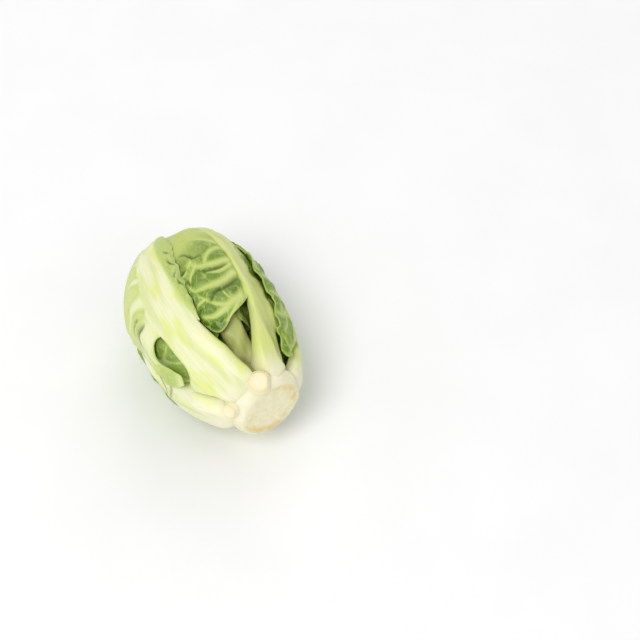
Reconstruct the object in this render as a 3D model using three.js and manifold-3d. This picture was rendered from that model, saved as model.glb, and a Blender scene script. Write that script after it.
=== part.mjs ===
// One Brussels sprout as picked and trimmed, lying on its side: a short cut stalk with its core, eleven
// separate leaves wrapped round each other, and the tight heart they close on.
// Millimetres, +Z up. The sprout's axis runs along X: the cut stalk end points to +X, the crown to -X.
import * as THREE from "three";
import { mergeVertices } from "three/addons/utils/BufferGeometryUtils.js";
import Module from "manifold-3d";

// Driving dimensions, in millimetres and degrees
const HEAD_RADIUS = 16.7; // half the head's breadth over its outer leaves
const HEAD_HALF_LENGTH = 25.9; // mean half length of the head along its axis
const STALK_END_STRETCH = 2.2; // the stalk end's half is longer by this, and the crown's half shorter
const AXIS_BOW = 0.95; // sideways sag of the axis towards -Y at BOW_CENTRE
const BOW_CENTRE = 4;
const BOW_HALF_SPAN = 20;
const FLOOR_BITE = 0.9; // how much of the belly is flattened by the surface it lies on
const LEAF_GAP = 0.4; // air between one leaf and the next
const HEAD_DROP = 1.2; // the inner leaves start this far below the head's outline
const HEART_CLEARANCE = 0.9; // air round the heart
const BLADE_THICKNESS = 0.62;
const INNER_BLADE_SHARE = 0.7; // an inner leaf's blade, as a share of its rib's thickness
const COVER_MARGIN = 3; // degrees past its edge over which a leaf still holds the next one down fully
const BASE_FADE = 9; // degrees over which the leaf below rises again to the head's outline, at the leaf bases
const BLADE_FADE = 24; // and over the blades
const CUT_RADIUS = 6.6; // the cut stalk end
const CUT_X = 25.3;
const CUT_TURN = 6; // the cut is not square: it faces this far towards +Y
const CUT_LIFT = 5; // and this far upwards
const STALK_BEND = 0.4; // the cut end stands this far towards +Y
const STALK_RISE = 0.6; // and this far above the head's axis
const CORE_TIP_X = -6; // the core ends here, inside the heart

const rad = THREE.MathUtils.degToRad;
const deg = THREE.MathUtils.radToDeg;
const clamp = THREE.MathUtils.clamp;
const lerp = THREE.MathUtils.lerp;

// Smooth curve through keyed rows [key, value, value...]: cubic Hermite with finite-difference slopes.
function through(rows, key) {
  const last = rows.length - 1;
  if (key <= rows[0][0]) return rows[0].slice(1);
  if (key >= rows[last][0]) return rows[last].slice(1);
  let i = 0;
  while (rows[i + 1][0] < key) i++;
  const span = rows[i + 1][0] - rows[i][0];
  const t = (key - rows[i][0]) / span;
  const slope = (k, c) => {
    const lo = Math.max(k - 1, 0);
    const hi = Math.min(k + 1, last);
    return (rows[hi][c] - rows[lo][c]) / (rows[hi][0] - rows[lo][0]);
  };
  return rows[i].slice(1).map((from, n) => {
    const c = n + 1;
    const to = rows[i + 1][c];
    const rise = t * t * (3 - 2 * t);
    const early = t * (1 - t) * (1 - t) * span * slope(i, c);
    const late = t * t * (t - 1) * span * slope(i + 1, c);
    return from + (to - from) * rise + early + late;
  });
}

// Smooth curve through plain points, read at share 0 to 1 of its length.
function along(points, share) {
  let length = 0;
  const rows = points.map((p, i) => {
    if (i) length += Math.hypot(p[0] - points[i - 1][0], p[1] - points[i - 1][1]);
    return [length, p[0], p[1]];
  });
  return through(rows, share * length);
}

// The head's outer shape
// A unit direction d (x to the stalk) gives a point of the outline, an egg with a slightly bowed axis.
// depth is counted inwards along the egg's normal, so every leaf is a layer of the same family.
function headPoint(d, depth) {
  const halfLength = HEAD_HALF_LENGTH + STALK_END_STRETCH * d.x;
  const normal = new THREE.Vector3(d.x / halfLength, d.y / HEAD_RADIUS, d.z / HEAD_RADIUS).normalize();
  const x = halfLength * d.x;
  const bow = AXIS_BOW * (1 - ((x - BOW_CENTRE) / BOW_HALF_SPAN) ** 2);
  return new THREE.Vector3(x, HEAD_RADIUS * d.y - bow, HEAD_RADIUS * d.z).addScaledVector(normal, -depth);
}

// Leaf coordinates
// v runs in degrees from the stalk (0) over the belly (90) to the crown (180) along the leaf's midrib,
// and u is the angle to its side. longitude turns round the axis: 0 is the top, 90 is +Y.
function leafFrame(longitude) {
  const a = rad(longitude);
  return {
    up: new THREE.Vector3(0, Math.sin(a), Math.cos(a)),
    side: new THREE.Vector3(0, Math.cos(a), -Math.sin(a)),
  };
}

function directionAt(frame, u, v) {
  const stalkward = new THREE.Vector3(1, 0, 0);
  return stalkward
    .multiplyScalar(Math.cos(rad(u)) * Math.cos(rad(v)))
    .addScaledVector(frame.up, Math.cos(rad(u)) * Math.sin(rad(v)))
    .addScaledVector(frame.side, Math.sin(rad(u)));
}

function leafCoordinates(frame, d) {
  const u = deg(Math.asin(clamp(d.dot(frame.side), -1, 1)));
  const v = (deg(Math.atan2(d.dot(frame.up), d.x)) + 405) % 360;
  return [u, v - 45];
}

// Leaves, from the outermost inwards
// rib rows: [v, centre u, half width, thickness]. A side's inner edge runs from the rib down its lobe, and
// its outer edge from the lobe's tip to the shoulder; the top edge joins the shoulders over the tip.
// A side is written with u counted outwards from the rib.
const LEAVES = [
  {
    name: "wrapper_leaf_1",
    longitude: -37,
    tip: 150,
    rib: [
      [22, 1, 15, 3.0],
      [38, 0.5, 18.5, 2.8],
      [44, -3.5, 21.5, 2.6],
      [50, -5.5, 23.5, 2.4],
      [56, -5, 22.5, 2.3],
      [61, -3, 19, 2.2],
      [66, -2, 17, 2.1],
      [78, -3, 15.5, 1.9],
      [90, -2, 13.5, 1.7],
      [110, 0, 10, 1.4],
      [150, 0, 5, 1.1],
    ],
    left: {
      inner: [[18.5, 80], [24, 82], [31, 81], [36, 77], [36, 70], [33.5, 61], [31, 53], [35, 50]],
      outer: [[35, 50], [42, 52], [46, 59], [47, 70], [50, 82], [54, 94], [57, 110], [48, 129], [30, 143]],
      veins: 6,
    },
    right: {
      inner: [[13, 72], [14.5, 70], [15.5, 71]],
      outer: [[15.5, 71], [17.5, 80], [19.5, 90], [21, 101], [22, 113], [21, 128], [15, 143]],
      veins: 6,
    },
    relief: 0.75,
  },
  {
    name: "wrapper_leaf_2",
    longitude: 85,
    tip: 132,
    rib: [
      [22, -2, 15.5, 2.9],
      [36, -1.5, 15.5, 2.6],
      [50, 0.5, 12.5, 2.2],
      [70, 0, 10.5, 1.8],
      [100, 0, 8, 1.4],
      [132, 0, 4, 1.0],
    ],
    left: {
      inner: [[14, 57], [18, 48], [21, 41], [25, 36.5], [31, 36]],
      outer: [
        [31, 36], [35, 42], [36, 51], [35, 60], [36.5, 74],
        [38.5, 86], [38.5, 95], [32, 108], [20, 121],
      ],
      veins: 6,
    },
    right: {
      inner: [[14, 57], [19, 49], [27, 43], [34, 41]],
      outer: [[34, 41], [44, 52], [50, 68], [52, 86], [44, 106], [24, 123]],
      veins: 5,
    },
    relief: 0.7,
  },
  {
    name: "wrapper_leaf_3",
    longitude: -98,
    tip: 140,
    rib: [
      [22, 0, 17, 2.9],
      [36, 0, 19, 2.6],
      [50, 0, 18, 2.2],
      [66, 0, 14, 1.8],
      [100, 0, 8, 1.4],
      [140, 0, 4, 1.0],
    ],
    left: {
      inner: [[15, 62], [24, 58], [32, 53], [38, 52]],
      outer: [[38, 52], [46, 64], [51, 82], [50, 100], [42, 118], [24, 132]],
      veins: 5,
    },
    right: {
      inner: [[15, 62], [21, 59.5], [28, 56], [32, 56]],
      outer: [[32, 56], [38, 68], [41, 88], [38, 108], [22, 130]],
      veins: 5,
    },
    relief: 0.6,
  },
  {
    name: "wrapper_leaf_4",
    longitude: 30,
    tip: 156,
    rib: [
      [22, -5, 15, 2.9],
      [36, -4, 16, 2.8],
      [50, -2.5, 14.5, 2.4],
      [64, 0.5, 12, 2.0],
      [76, 2, 9, 1.8],
      [90, 2.5, 6.5, 1.6],
      [112, 2, 5, 1.4],
      [156, 0, 3, 1.1],
    ],
    left: {
      inner: [[7, 75], [12, 72.5], [19, 69], [26, 65.5], [33, 59.5], [38, 56.5], [43, 57], [48, 62]],
      outer: [[48, 62], [51, 70], [54, 80], [55, 94], [53, 112], [44, 132], [27, 148]],
      veins: 5,
    },
    right: {
      inner: [[12, 57], [18, 50], [25, 49]],
      outer: [[25, 49], [34, 62], [40, 84], [40, 106], [34, 130], [20, 149]],
      veins: 5,
    },
    relief: 0.8,
  },
  {
    name: "wrapper_leaf_5",
    longitude: 179,
    tip: 148,
    rib: [
      [24, 0, 18, 2.8],
      [46, 0, 18.5, 2.5],
      [75, 0, 18, 1.9],
      [100, 0, 15, 1.5],
      [148, 0, 5, 1.0],
    ],
    left: {
      inner: [[14, 66], [22, 61], [30, 57], [35, 57]],
      outer: [[35, 57], [45, 70], [50, 90], [48, 110], [38, 130], [24, 142]],
      veins: 5,
    },
    right: {
      inner: [[14, 66], [22, 62], [30, 58], [34, 57]],
      outer: [[34, 57], [44, 70], [49, 90], [47, 112], [38, 130], [24, 142]],
      veins: 5,
    },
    relief: 0.6,
  },
  headLeaf(1, 0, 165, 14, 46),
  headLeaf(2, -138, 168, 14, 50),
  headLeaf(3, 112, 172, 14, 50),
  headLeaf(4, -64, 176, 13, 48),
  headLeaf(5, 52, 180, 13, 46),
  headLeaf(6, -178, 186, 13, 48),
];

// An inner leaf: the same build by rule, with broad lobes and a blade nearly as thick as its rib.
function headLeaf(number, longitude, tip, ribWidth, breadth) {
  const lean = ((number * 37) % 7) - 3; // uneven, as grown
  const side = (wide) => ({
    inner: [[ribWidth * 0.75, 66], [wide * 0.5, 60], [wide * 0.72, 57]],
    outer: [
      [wide * 0.72, 57],
      [wide * 0.93, 74],
      [wide, 100],
      [wide * 0.94, 126],
      [wide * 0.74, tip - 26],
      [wide * 0.42, tip - 7],
    ],
    veins: 4,
  });
  return {
    name: "head_leaf_" + number,
    longitude,
    tip,
    rib: [
      [34, 0, ribWidth, 1.9],
      [50, 0, ribWidth, 1.7],
      [75, 0, ribWidth * 0.7, 1.3],
      [105, 0, ribWidth * 0.45, 1.1],
      [tip, 0, ribWidth * 0.25, 0.9],
    ],
    left: side(breadth + lean),
    right: side(breadth - lean),
    relief: 0.5,
    inner: true,
  };
}

// Where a leaf lies
// The rib's centre, half width and thickness at v.
const ribAt = (leaf, v) => through(leaf.rib, v);

// A point of one side's blade, as a Coons patch. across runs from the rib (0) to the outer edge (1), and
// rise from the lobe's inner edge (0) to the top edge (1).
function bladePoint(leaf, sideName, across, rise) {
  const side = leaf[sideName];
  const sign = sideName === "left" ? -1 : 1;
  const attach = side.inner[0][1];
  const ribEdge = (t) => {
    const v = lerp(attach, leaf.tip, t);
    const [centre, half] = ribAt(leaf, v);
    return [sign * centre + half, v];
  };
  const shoulder = side.outer[side.outer.length - 1];
  const [tipU, tipV] = ribEdge(1);
  const topEdge = (t) => [lerp(tipU, shoulder[0], t), lerp(tipV, shoulder[1], t * t)];
  const start = ribEdge(0);
  const inner = [start, ...side.inner.slice(1)];
  const low = along(inner, across);
  const high = topEdge(across);
  const near = ribEdge(rise);
  const far = along(side.outer, rise);
  const lobe = side.outer[0];
  const [u, v] = [0, 1].map(
    (k) =>
      (1 - rise) * low[k] +
      rise * high[k] +
      (1 - across) * near[k] +
      across * far[k] -
      ((1 - across) * (1 - rise) * start[k] +
        across * (1 - rise) * lobe[k] +
        (1 - across) * rise * [tipU, tipV][k] +
        across * rise * shoulder[k]),
  );
  return [sign * u, v];
}

// The leaf's outline in leaf coordinates, as one closed loop.
function outlineOf(leaf) {
  const steps = 14;
  const loop = [];
  const base = leaf.rib[0][0];
  const walk = (sideName, sign) => {
    const side = leaf[sideName];
    const attach = side.inner[0][1];
    const path = [];
    for (let i = 0; i < 6; i++) {
      const v = lerp(base, attach, i / 6);
      const [centre, half] = ribAt(leaf, v);
      path.push([centre + sign * half, v]);
    }
    for (let i = 0; i < steps; i++) path.push(bladePoint(leaf, sideName, i / steps, 0));
    for (let i = 0; i < 2 * steps; i++) path.push(bladePoint(leaf, sideName, 1, i / (2 * steps)));
    for (let i = steps; i >= 0; i--) path.push(bladePoint(leaf, sideName, i / steps, 1));
    return path;
  };
  loop.push(...walk("right", 1), ...walk("left", -1).reverse());
  return loop;
}

// Distance in degrees from a point to the outline, 0 inside it. Degrees of u and v count alike.
function distanceOutside(loop, u, v) {
  let inside = false;
  let best = Infinity;
  for (let i = 0, j = loop.length - 1; i < loop.length; j = i++) {
    const [x1, y1] = loop[j];
    const [x2, y2] = loop[i];
    if (y1 > v !== y2 > v && u < ((x2 - x1) * (v - y1)) / (y2 - y1) + x1) inside = !inside;
    const length2 = (x2 - x1) ** 2 + (y2 - y1) ** 2;
    const t = length2 ? clamp(((u - x1) * (x2 - x1) + (v - y1) * (y2 - y1)) / length2, 0, 1) : 0;
    best = Math.min(best, Math.hypot(u - x1 - t * (x2 - x1), v - y1 - t * (y2 - y1)));
  }
  return inside ? 0 : best;
}

for (const leaf of LEAVES) {
  leaf.frame = leafFrame(leaf.longitude);
  leaf.outline = outlineOf(leaf);
}

// How deep below the head's outline the leaf of that order lies in direction d: each leaf outside it takes
// its own thickness and a gap, in full under that leaf and fading to nothing beside it.
function layerDepth(order, d) {
  const inside = order >= LEAVES.length || LEAVES[order].inner;
  let depth = inside ? HEAD_DROP : 0;
  for (let i = 0; i < order; i++) {
    const outer = LEAVES[i];
    const [u, v] = leafCoordinates(outer.frame, d);
    const away = distanceOutside(outer.outline, u, v) - COVER_MARGIN;
    const fade = lerp(BASE_FADE, BLADE_FADE, THREE.MathUtils.smoothstep(v, 28, 56));
    const cover = 1 - THREE.MathUtils.smoothstep(away, 0, fade);
    if (cover > 0) depth += cover * (ribAt(outer, v)[2] + LEAF_GAP);
  }
  return depth;
}

// A leaf as a solid
// The blade's outer face over its layer's floor: the midrib fills the layer, the lateral veins lie low
// and the blade puffs up between them.
function outerRise(leaf, u, v, across, rise, side) {
  const [centre, half, thickness] = ribAt(leaf, v);
  const blade = leaf.inner ? INNER_BLADE_SHARE * thickness : BLADE_THICKNESS;
  const room = thickness - blade;
  const off = Math.abs(u - centre) / half;
  const rib = off < 1.25 ? (1 - (off / 1.25) ** 2) ** 2 : 0;
  let puff = 0;
  if (side) {
    const wave = Math.abs(Math.sin(Math.PI * side.veins * rise));
    puff = leaf.relief * wave * Math.sin(Math.PI * Math.min(across * 1.15, 1)) * 0.8;
  }
  return blade + room * Math.max(Math.sqrt(rib), puff);
}

function leafSolid(leaf, order) {
  const columns = leaf.inner ? 3 : 5; // blade quads from the rib to the edge
  const ribColumns = leaf.inner ? 2 : 6;
  const rowSpan = leaf.inner ? 11 : 7; // degrees
  const points = [];
  const triangles = [];
  const add = (u, v, rise, floor) => {
    points.push({ d: directionAt(leaf.frame, u, v), floor, rise });
    return points.length - 1;
  };
  const put = (u, v, across = 0, up = 0, side = null) => {
    const thickness = ribAt(leaf, v)[2];
    return add(u, v, outerRise(leaf, u, v, across, up, side), thickness);
  };
  // The rib strip. Above the lower of the two attachments its rows follow that side's spacing.
  const attach = Math.min(leaf.left.inner[0][1], leaf.right.inner[0][1]);
  const base = leaf.rib[0][0];
  const petioleRows = Math.round((attach - base) / rowSpan);
  const bladeRows = Math.round((leaf.tip - attach) / rowSpan);
  const quad = (a, b, c, d) => triangles.push([a, b, c], [a, c, d]);
  const ribEdges = { left: [], right: [] };
  const rows = [];
  for (let i = 0; i < petioleRows; i++) rows.push(lerp(base, attach, i / petioleRows));
  for (let i = 0; i <= bladeRows; i++) rows.push(lerp(attach, leaf.tip, i / bladeRows));
  const strip = rows.map((v) => {
    const [centre, half] = ribAt(leaf, v);
    const row = [];
    for (let c = 0; c <= ribColumns; c++) row.push(put(centre + half * lerp(-1, 1, c / ribColumns), v));
    ribEdges.left.push(row[0]);
    ribEdges.right.push(row[ribColumns]);
    return row;
  });
  for (let i = 0; i + 1 < strip.length; i++)
    for (let c = 0; c < ribColumns; c++) {
      quad(strip[i][c], strip[i][c + 1], strip[i + 1][c + 1], strip[i + 1][c]);
    }
  // The two blades share the strip's edge from their own attachment up.
  for (const name of ["left", "right"]) {
    const from = rows.findIndex((v) => v >= leaf[name].inner[0][1] - 0.01);
    const edge = ribEdges[name].slice(from);
    const grid = edge.map((start, i) => {
      const rise = i / (edge.length - 1);
      const row = [start];
      for (let c = 1; c <= columns; c++) {
        const across = c / columns;
        const [u, v] = bladePoint(leaf, name, across, rise);
        row.push(put(u, v, across, rise, leaf[name]));
      }
      return row;
    });
    for (let i = 0; i + 1 < grid.length; i++)
      for (let c = 0; c < columns; c++) {
        const [a, b, cc, d] = [grid[i][c], grid[i][c + 1], grid[i + 1][c + 1], grid[i + 1][c]];
        if (name === "right") quad(a, b, cc, d);
        else quad(b, a, d, cc);
      }
  }
  return thicken(points, triangles, order);
}

// Closes an open sheet of triangles into a solid: an outer skin, an inner skin and walls round its edge.
function thicken(points, triangles, order) {
  const count = points.length;
  const positions = [];
  const layer = points.map((p) => layerDepth(order, p.d));
  points.forEach((p, i) => positions.push(restOnFloor(headPoint(p.d, layer[i] + p.floor - p.rise))));
  points.forEach((p, i) => positions.push(headPoint(p.d, layer[i] + p.floor)));
  const edges = new Map();
  for (const [a, b, c] of triangles)
    for (const [from, to] of [[a, b], [b, c], [c, a]]) {
      if (edges.has(to + ">" + from)) edges.delete(to + ">" + from);
      else edges.set(from + ">" + to, [from, to]);
    }
  const faces = [...triangles];
  for (const [a, b, c] of triangles) faces.push([a + count, c + count, b + count]);
  for (const [from, to] of edges.values())
    faces.push([to, from, from + count], [to, from + count, to + count]);
  return { positions, faces };
}

// The belly is flattened where it lies on the surface, at z = 0 once the axis is raised to rest.
const AXIS_HEIGHT = HEAD_RADIUS - FLOOR_BITE;
function restOnFloor(point) {
  point.z = Math.max(point.z, -AXIS_HEIGHT);
  return point;
}

// Three.js and manifold-3d helpers
const wasm = await Module();
wasm.setup();

function geometryOf({ positions, faces }) {
  const geometry = new THREE.BufferGeometry();
  const numbers = positions.flatMap((p) => [p.x, p.y, p.z]);
  geometry.setAttribute("position", new THREE.Float32BufferAttribute(numbers, 3));
  geometry.setIndex(faces.flat());
  return geometry;
}

function solidFrom(geometry) {
  const bare = geometry.clone();
  bare.deleteAttribute("normal");
  bare.deleteAttribute("uv");
  const merged = mergeVertices(bare, 1e-4);
  return new wasm.Manifold(
    new wasm.Mesh({
      numProp: 3,
      vertProperties: new Float32Array(merged.attributes.position.array),
      triVerts: new Uint32Array(merged.index.array),
    }),
  );
}

function geometryFrom(solid) {
  const mesh = solid.getMesh();
  const geometry = new THREE.BufferGeometry();
  geometry.setAttribute("position", new THREE.Float32BufferAttribute(mesh.vertProperties, 3));
  geometry.setIndex(new THREE.BufferAttribute(mesh.triVerts, 1));
  return geometry;
}

// The largest body of a solid that a cut has split.
function largest(solid) {
  return solid.decompose().sort((a, b) => b.volume() - a.volume())[0];
}

// The stalk
// A core inside the head, from rows of [x, radius], that swells to the cut end the leaf bases spring from.
const STALK_ROWS = [
  [CORE_TIP_X, 0.8],
  [CORE_TIP_X + 2, 2.6],
  [3, 4.2],
  [11, 5.2],
  [17, 6.6],
  [20.5, 7.6],
  [22.6, 7.9],
  [24.0, 7.6],
  [24.8, 7.2],
  [CUT_X, CUT_RADIUS],
];
const STALK_SIDES = 28;
// Leaf scars, where older leaves broke off: where their middle lies, their radius, how far they stand out.
const SCARS = [
  { longitude: -12, x: 22.9, from: 9.0, radius: 2.0, proud: 0.5 },
  { longitude: -73, x: 23.4, from: 8.8, radius: 1.5, proud: 0.4 },
];
const SCAR_ROOT = 5; // a scar's disc reaches this deep into the stalk

// The stalk's middle line at x.
function stalkMiddle(x) {
  const bow = AXIS_BOW * (1 - ((x - BOW_CENTRE) / BOW_HALF_SPAN) ** 2);
  const share = THREE.MathUtils.smoothstep(x, 10, CUT_X);
  return new THREE.Vector3(x, STALK_BEND * share - bow, STALK_RISE * share);
}

// Joins rings of points, each of the same count, into a closed solid with a fan at each end.
function loft(rings) {
  const sides = rings[0].length;
  const positions = rings.flat();
  const faces = [];
  const at = (ring, side) => ring * sides + (side % sides);
  for (let k = 0; k + 1 < rings.length; k++)
    for (let i = 0; i < sides; i++) {
      faces.push([at(k, i), at(k + 1, i + 1), at(k, i + 1)], [at(k, i), at(k + 1, i), at(k + 1, i + 1)]);
    }
  for (const end of [0, rings.length - 1]) {
    const centre = rings[end].reduce((sum, p) => sum.add(p), new THREE.Vector3()).divideScalar(sides);
    const middle = positions.push(centre) - 1;
    for (let i = 0; i < sides; i++) {
      const [a, b] = [at(end, i), at(end, i + 1)];
      faces.push(end ? [middle, b, a] : [middle, a, b]);
    }
  }
  return { positions, faces };
}

function stalkSolid(inflate) {
  const facing = new THREE.Vector3(1, Math.tan(rad(CUT_TURN)), Math.tan(rad(CUT_LIFT)));
  const rings = STALK_ROWS.map(([x, radius], row) => {
    const middle = stalkMiddle(x);
    const atCut = row === STALK_ROWS.length - 1;
    const ring = [];
    for (let i = 0; i < STALK_SIDES; i++) {
      const out = leafFrame((360 * i) / STALK_SIDES).up;
      const point = middle.clone().addScaledVector(out, radius + inflate);
      if (atCut) point.x += inflate - (point.y - middle.y) * facing.y - (point.z - middle.z) * facing.z;
      ring.push(point);
    }
    return ring;
  });
  let solid = solidFrom(geometryOf(loft(rings)));
  for (const scar of SCARS) solid = solid.add(scarSolid(scar, inflate));
  return solid;
}

// A scar: a low round disc with a broken edge, leaning towards the cut end.
function scarSolid({ longitude, x, from, radius, proud }, inflate) {
  const lean = 0.42;
  const out = leafFrame(longitude).up.setX(lean).normalize();
  const rim = 0.3;
  const wide = radius + inflate;
  const top = proud + inflate;
  const profile = [
    new THREE.Vector2(0, -SCAR_ROOT),
    new THREE.Vector2(wide * 0.8, -SCAR_ROOT),
    new THREE.Vector2(wide, top - rim),
    new THREE.Vector2(wide - rim, top),
    new THREE.Vector2(0, top),
  ];
  const disc = new THREE.LatheGeometry(profile, 14);
  const foot = stalkMiddle(x).addScaledVector(leafFrame(longitude).up, from);
  disc.applyQuaternion(new THREE.Quaternion().setFromUnitVectors(new THREE.Vector3(0, 1, 0), out));
  disc.translate(foot.x, foot.y, foot.z);
  return solidFrom(disc);
}

// The heart
// The tight middle of the bud, its own leaves pressed into one body with their edges raised as steps.
function heartSolid() {
  const rings = 20;
  const around = 30;
  const positions = [];
  const faces = [];
  const at = (theta, longitude) => {
    const a = rad(longitude);
    const d = new THREE.Vector3(
      Math.cos(rad(theta)),
      Math.sin(rad(theta)) * Math.sin(a),
      Math.sin(rad(theta)) * Math.cos(a),
    );
    const spiral = ((longitude / 120 + theta / 70) % 1 + 1) % 1;
    const step = 0.55 * Math.sin(rad(theta)) * spiral;
    return headPoint(d, layerDepth(LEAVES.length, d) + HEART_CLEARANCE + step);
  };
  const stalkPole = positions.push(at(34, 0).set(at(34, 0).x, -AXIS_BOW * 0.3, 0)) - 1;
  const grid = [];
  for (let i = 0; i <= rings; i++) {
    const theta = lerp(42, 176, i / rings);
    const row = [];
    for (let j = 0; j < around; j++) row.push(positions.push(at(theta, (360 * j) / around)) - 1);
    grid.push(row);
  }
  const crownPole = positions.push(at(180, 0)) - 1;
  for (let i = 0; i < rings; i++)
    for (let j = 0; j < around; j++) {
      const k = (j + 1) % around;
      faces.push([grid[i][j], grid[i + 1][k], grid[i + 1][j]], [grid[i][j], grid[i][k], grid[i + 1][k]]);
    }
  for (let j = 0; j < around; j++) {
    const k = (j + 1) % around;
    faces.push([stalkPole, grid[0][k], grid[0][j]], [crownPole, grid[rings][j], grid[rings][k]]);
  }
  return { positions, faces };
}

// Assembly
const COLOURS = {
  wrapper: new THREE.MeshStandardMaterial({ color: 0x9dbb58, roughness: 0.5, metalness: 0 }),
  head: new THREE.MeshStandardMaterial({ color: 0xb4c96a, roughness: 0.55, metalness: 0 }),
  heart: new THREE.MeshStandardMaterial({ color: 0xd3d98a, roughness: 0.6, metalness: 0 }),
  stalk: new THREE.MeshStandardMaterial({ color: 0xe9e2b4, roughness: 0.65, metalness: 0 }),
};

function nodeMesh(name, solid, material) {
  const mesh = new THREE.Mesh(geometryFrom(solid), material);
  mesh.name = name;
  return mesh;
}

const sprout = new THREE.Group();
const stalkRoom = stalkSolid(LEAF_GAP);
sprout.add(nodeMesh("stalk", stalkSolid(0), COLOURS.stalk));
LEAVES.forEach((leaf, order) => {
  const sheet = solidFrom(geometryOf(leafSolid(leaf, order)));
  const material = leaf.inner ? COLOURS.head : COLOURS.wrapper;
  sprout.add(nodeMesh(leaf.name, largest(sheet.subtract(stalkRoom)), material));
});
const heart = solidFrom(geometryOf(heartSolid()));
sprout.add(nodeMesh("heart", largest(heart.subtract(stalkRoom)), COLOURS.heart));

// The origin is the middle of the footprint, on the surface it lies on.
const extent = new THREE.Box3().setFromObject(sprout);
const middle = extent.getCenter(new THREE.Vector3());
sprout.position.set(-middle.x, -middle.y, AXIS_HEIGHT);

export default sprout;
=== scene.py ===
# %% [markdown]
# A Brussels sprout, lying on its side
#
# A sprout is a small head of leaves round a short cut stalk. Every leaf is a layer: it leaves the stalk with
# a wide pale rib, runs up the head, and ends in a thin blistered blade that wraps round the next leaf. This
# lesson models it the same way, leaf by leaf from the outside in, as surfaces computed with numpy.

# %% Load the imported model
# The imported solids are the fixed frame, and their box is kept.
import math

import bpy
import numpy as np
from mathutils import Matrix, Vector


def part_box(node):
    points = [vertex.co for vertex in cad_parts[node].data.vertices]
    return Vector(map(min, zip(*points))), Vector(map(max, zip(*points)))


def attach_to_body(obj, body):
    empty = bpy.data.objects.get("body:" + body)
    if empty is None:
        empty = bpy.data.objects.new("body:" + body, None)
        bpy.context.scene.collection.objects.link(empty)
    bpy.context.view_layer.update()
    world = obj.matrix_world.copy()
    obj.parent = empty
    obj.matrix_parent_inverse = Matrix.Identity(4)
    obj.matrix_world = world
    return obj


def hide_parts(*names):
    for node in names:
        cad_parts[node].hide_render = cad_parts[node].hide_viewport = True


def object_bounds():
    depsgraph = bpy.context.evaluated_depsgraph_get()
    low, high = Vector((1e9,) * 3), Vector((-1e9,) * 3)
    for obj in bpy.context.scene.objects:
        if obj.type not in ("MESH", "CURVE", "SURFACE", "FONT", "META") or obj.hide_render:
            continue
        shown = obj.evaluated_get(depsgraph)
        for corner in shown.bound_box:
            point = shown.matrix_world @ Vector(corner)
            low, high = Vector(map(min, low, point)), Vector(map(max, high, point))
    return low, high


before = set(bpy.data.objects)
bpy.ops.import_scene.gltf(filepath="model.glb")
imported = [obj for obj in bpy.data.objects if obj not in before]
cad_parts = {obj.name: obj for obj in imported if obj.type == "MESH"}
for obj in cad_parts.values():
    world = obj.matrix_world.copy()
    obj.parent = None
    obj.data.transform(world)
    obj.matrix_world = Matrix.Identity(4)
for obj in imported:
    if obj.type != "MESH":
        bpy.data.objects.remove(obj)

cad_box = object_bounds()
print("nodes to dress:", len(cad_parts), "box", np.round(np.array(cad_box), 4).tolist())

# %% [markdown]
# Sizes
#
# The lesson works in millimetres and degrees, like a botanist's notes, and turns to metres when a mesh is
# made. The head is an egg on a slightly bowed axis. Its stalk end points to +X and its crown to -X.

# %% Driving sizes
MM = 0.001
HEAD_RADIUS = 16.7
HEAD_HALF_LENGTH = 25.9
STALK_END_STRETCH = 2.2  # the stalk end's half is longer by this, and the crown's half shorter
AXIS_BOW = 0.95
BOW_CENTRE = 4
BOW_HALF_SPAN = 20
FLOOR_BITE = 0.9  # the belly is flattened by this much
AXIS_HEIGHT = HEAD_RADIUS - FLOOR_BITE
DENT_LONGITUDE, DENT_V = 10, 156  # the crown is a little dented here
DENT_SPREAD = 15
DENT_DEPTH = 1.0
LEAF_GAP = 0.25
HEAD_DROP = 1.2  # the inner leaves lie this much deeper than their layers ask
HEART_CLEARANCE = 0.6
BLADE = 0.55
INNER_BLADE = 0.7
CRINKLED_BLADE = 0.22
BLADE_ROOM = 1.3  # a blade with its blisters stays within a layer this thick
TOP_EASE = 0.3  # blisters flatten over this depth as they near the top of their layer
TIP_THINNING = 0.55  # a blade's room shrinks to this share of it over the crown
TIP_RUN = (98, 124)  # between these v
RIB_RUN = (0.95, 1.6)  # a rib's thickness eases to the blade's between these half widths from its middle
MARGIN_WAVE = 0.7  # degrees by which a margin swings in and out
MARGIN_BLADE = 0.3  # a blade thins to this at its margin
BASE_SINK = 2.6  # a leaf's base dips this far, into the stalk's skin, so that the two run together
BASE_RUN = (21, 38)
INSET = 0.12  # the blisters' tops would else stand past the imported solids' flat facets
COVER_MARGIN = 3  # degrees round a leaf where it still covers in full
BASE_FADE = 9  # and degrees over which that fades, by its base and by its blade
BLADE_FADE = 24
FADE_RUN = (28, 56)
U_START, V_START = -90, -45  # leaf coordinates run 180 and 360 degrees from here
CUT_RADIUS = 6.6
CUT_X = 25.3
CUT_TURN = 6
CUT_LIFT = 5
BEND_START = 10
STALK_BEND = 0.4
STALK_RISE = 0.6
CORE_TIP_X = -6

# %% [markdown]
# Curves through a few points
#
# A rib's width or a leaf's edge is noted at a handful of places. A cubic Hermite curve passes through all of
# them, and its slope at each point is the slope between that point's two neighbours.

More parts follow.
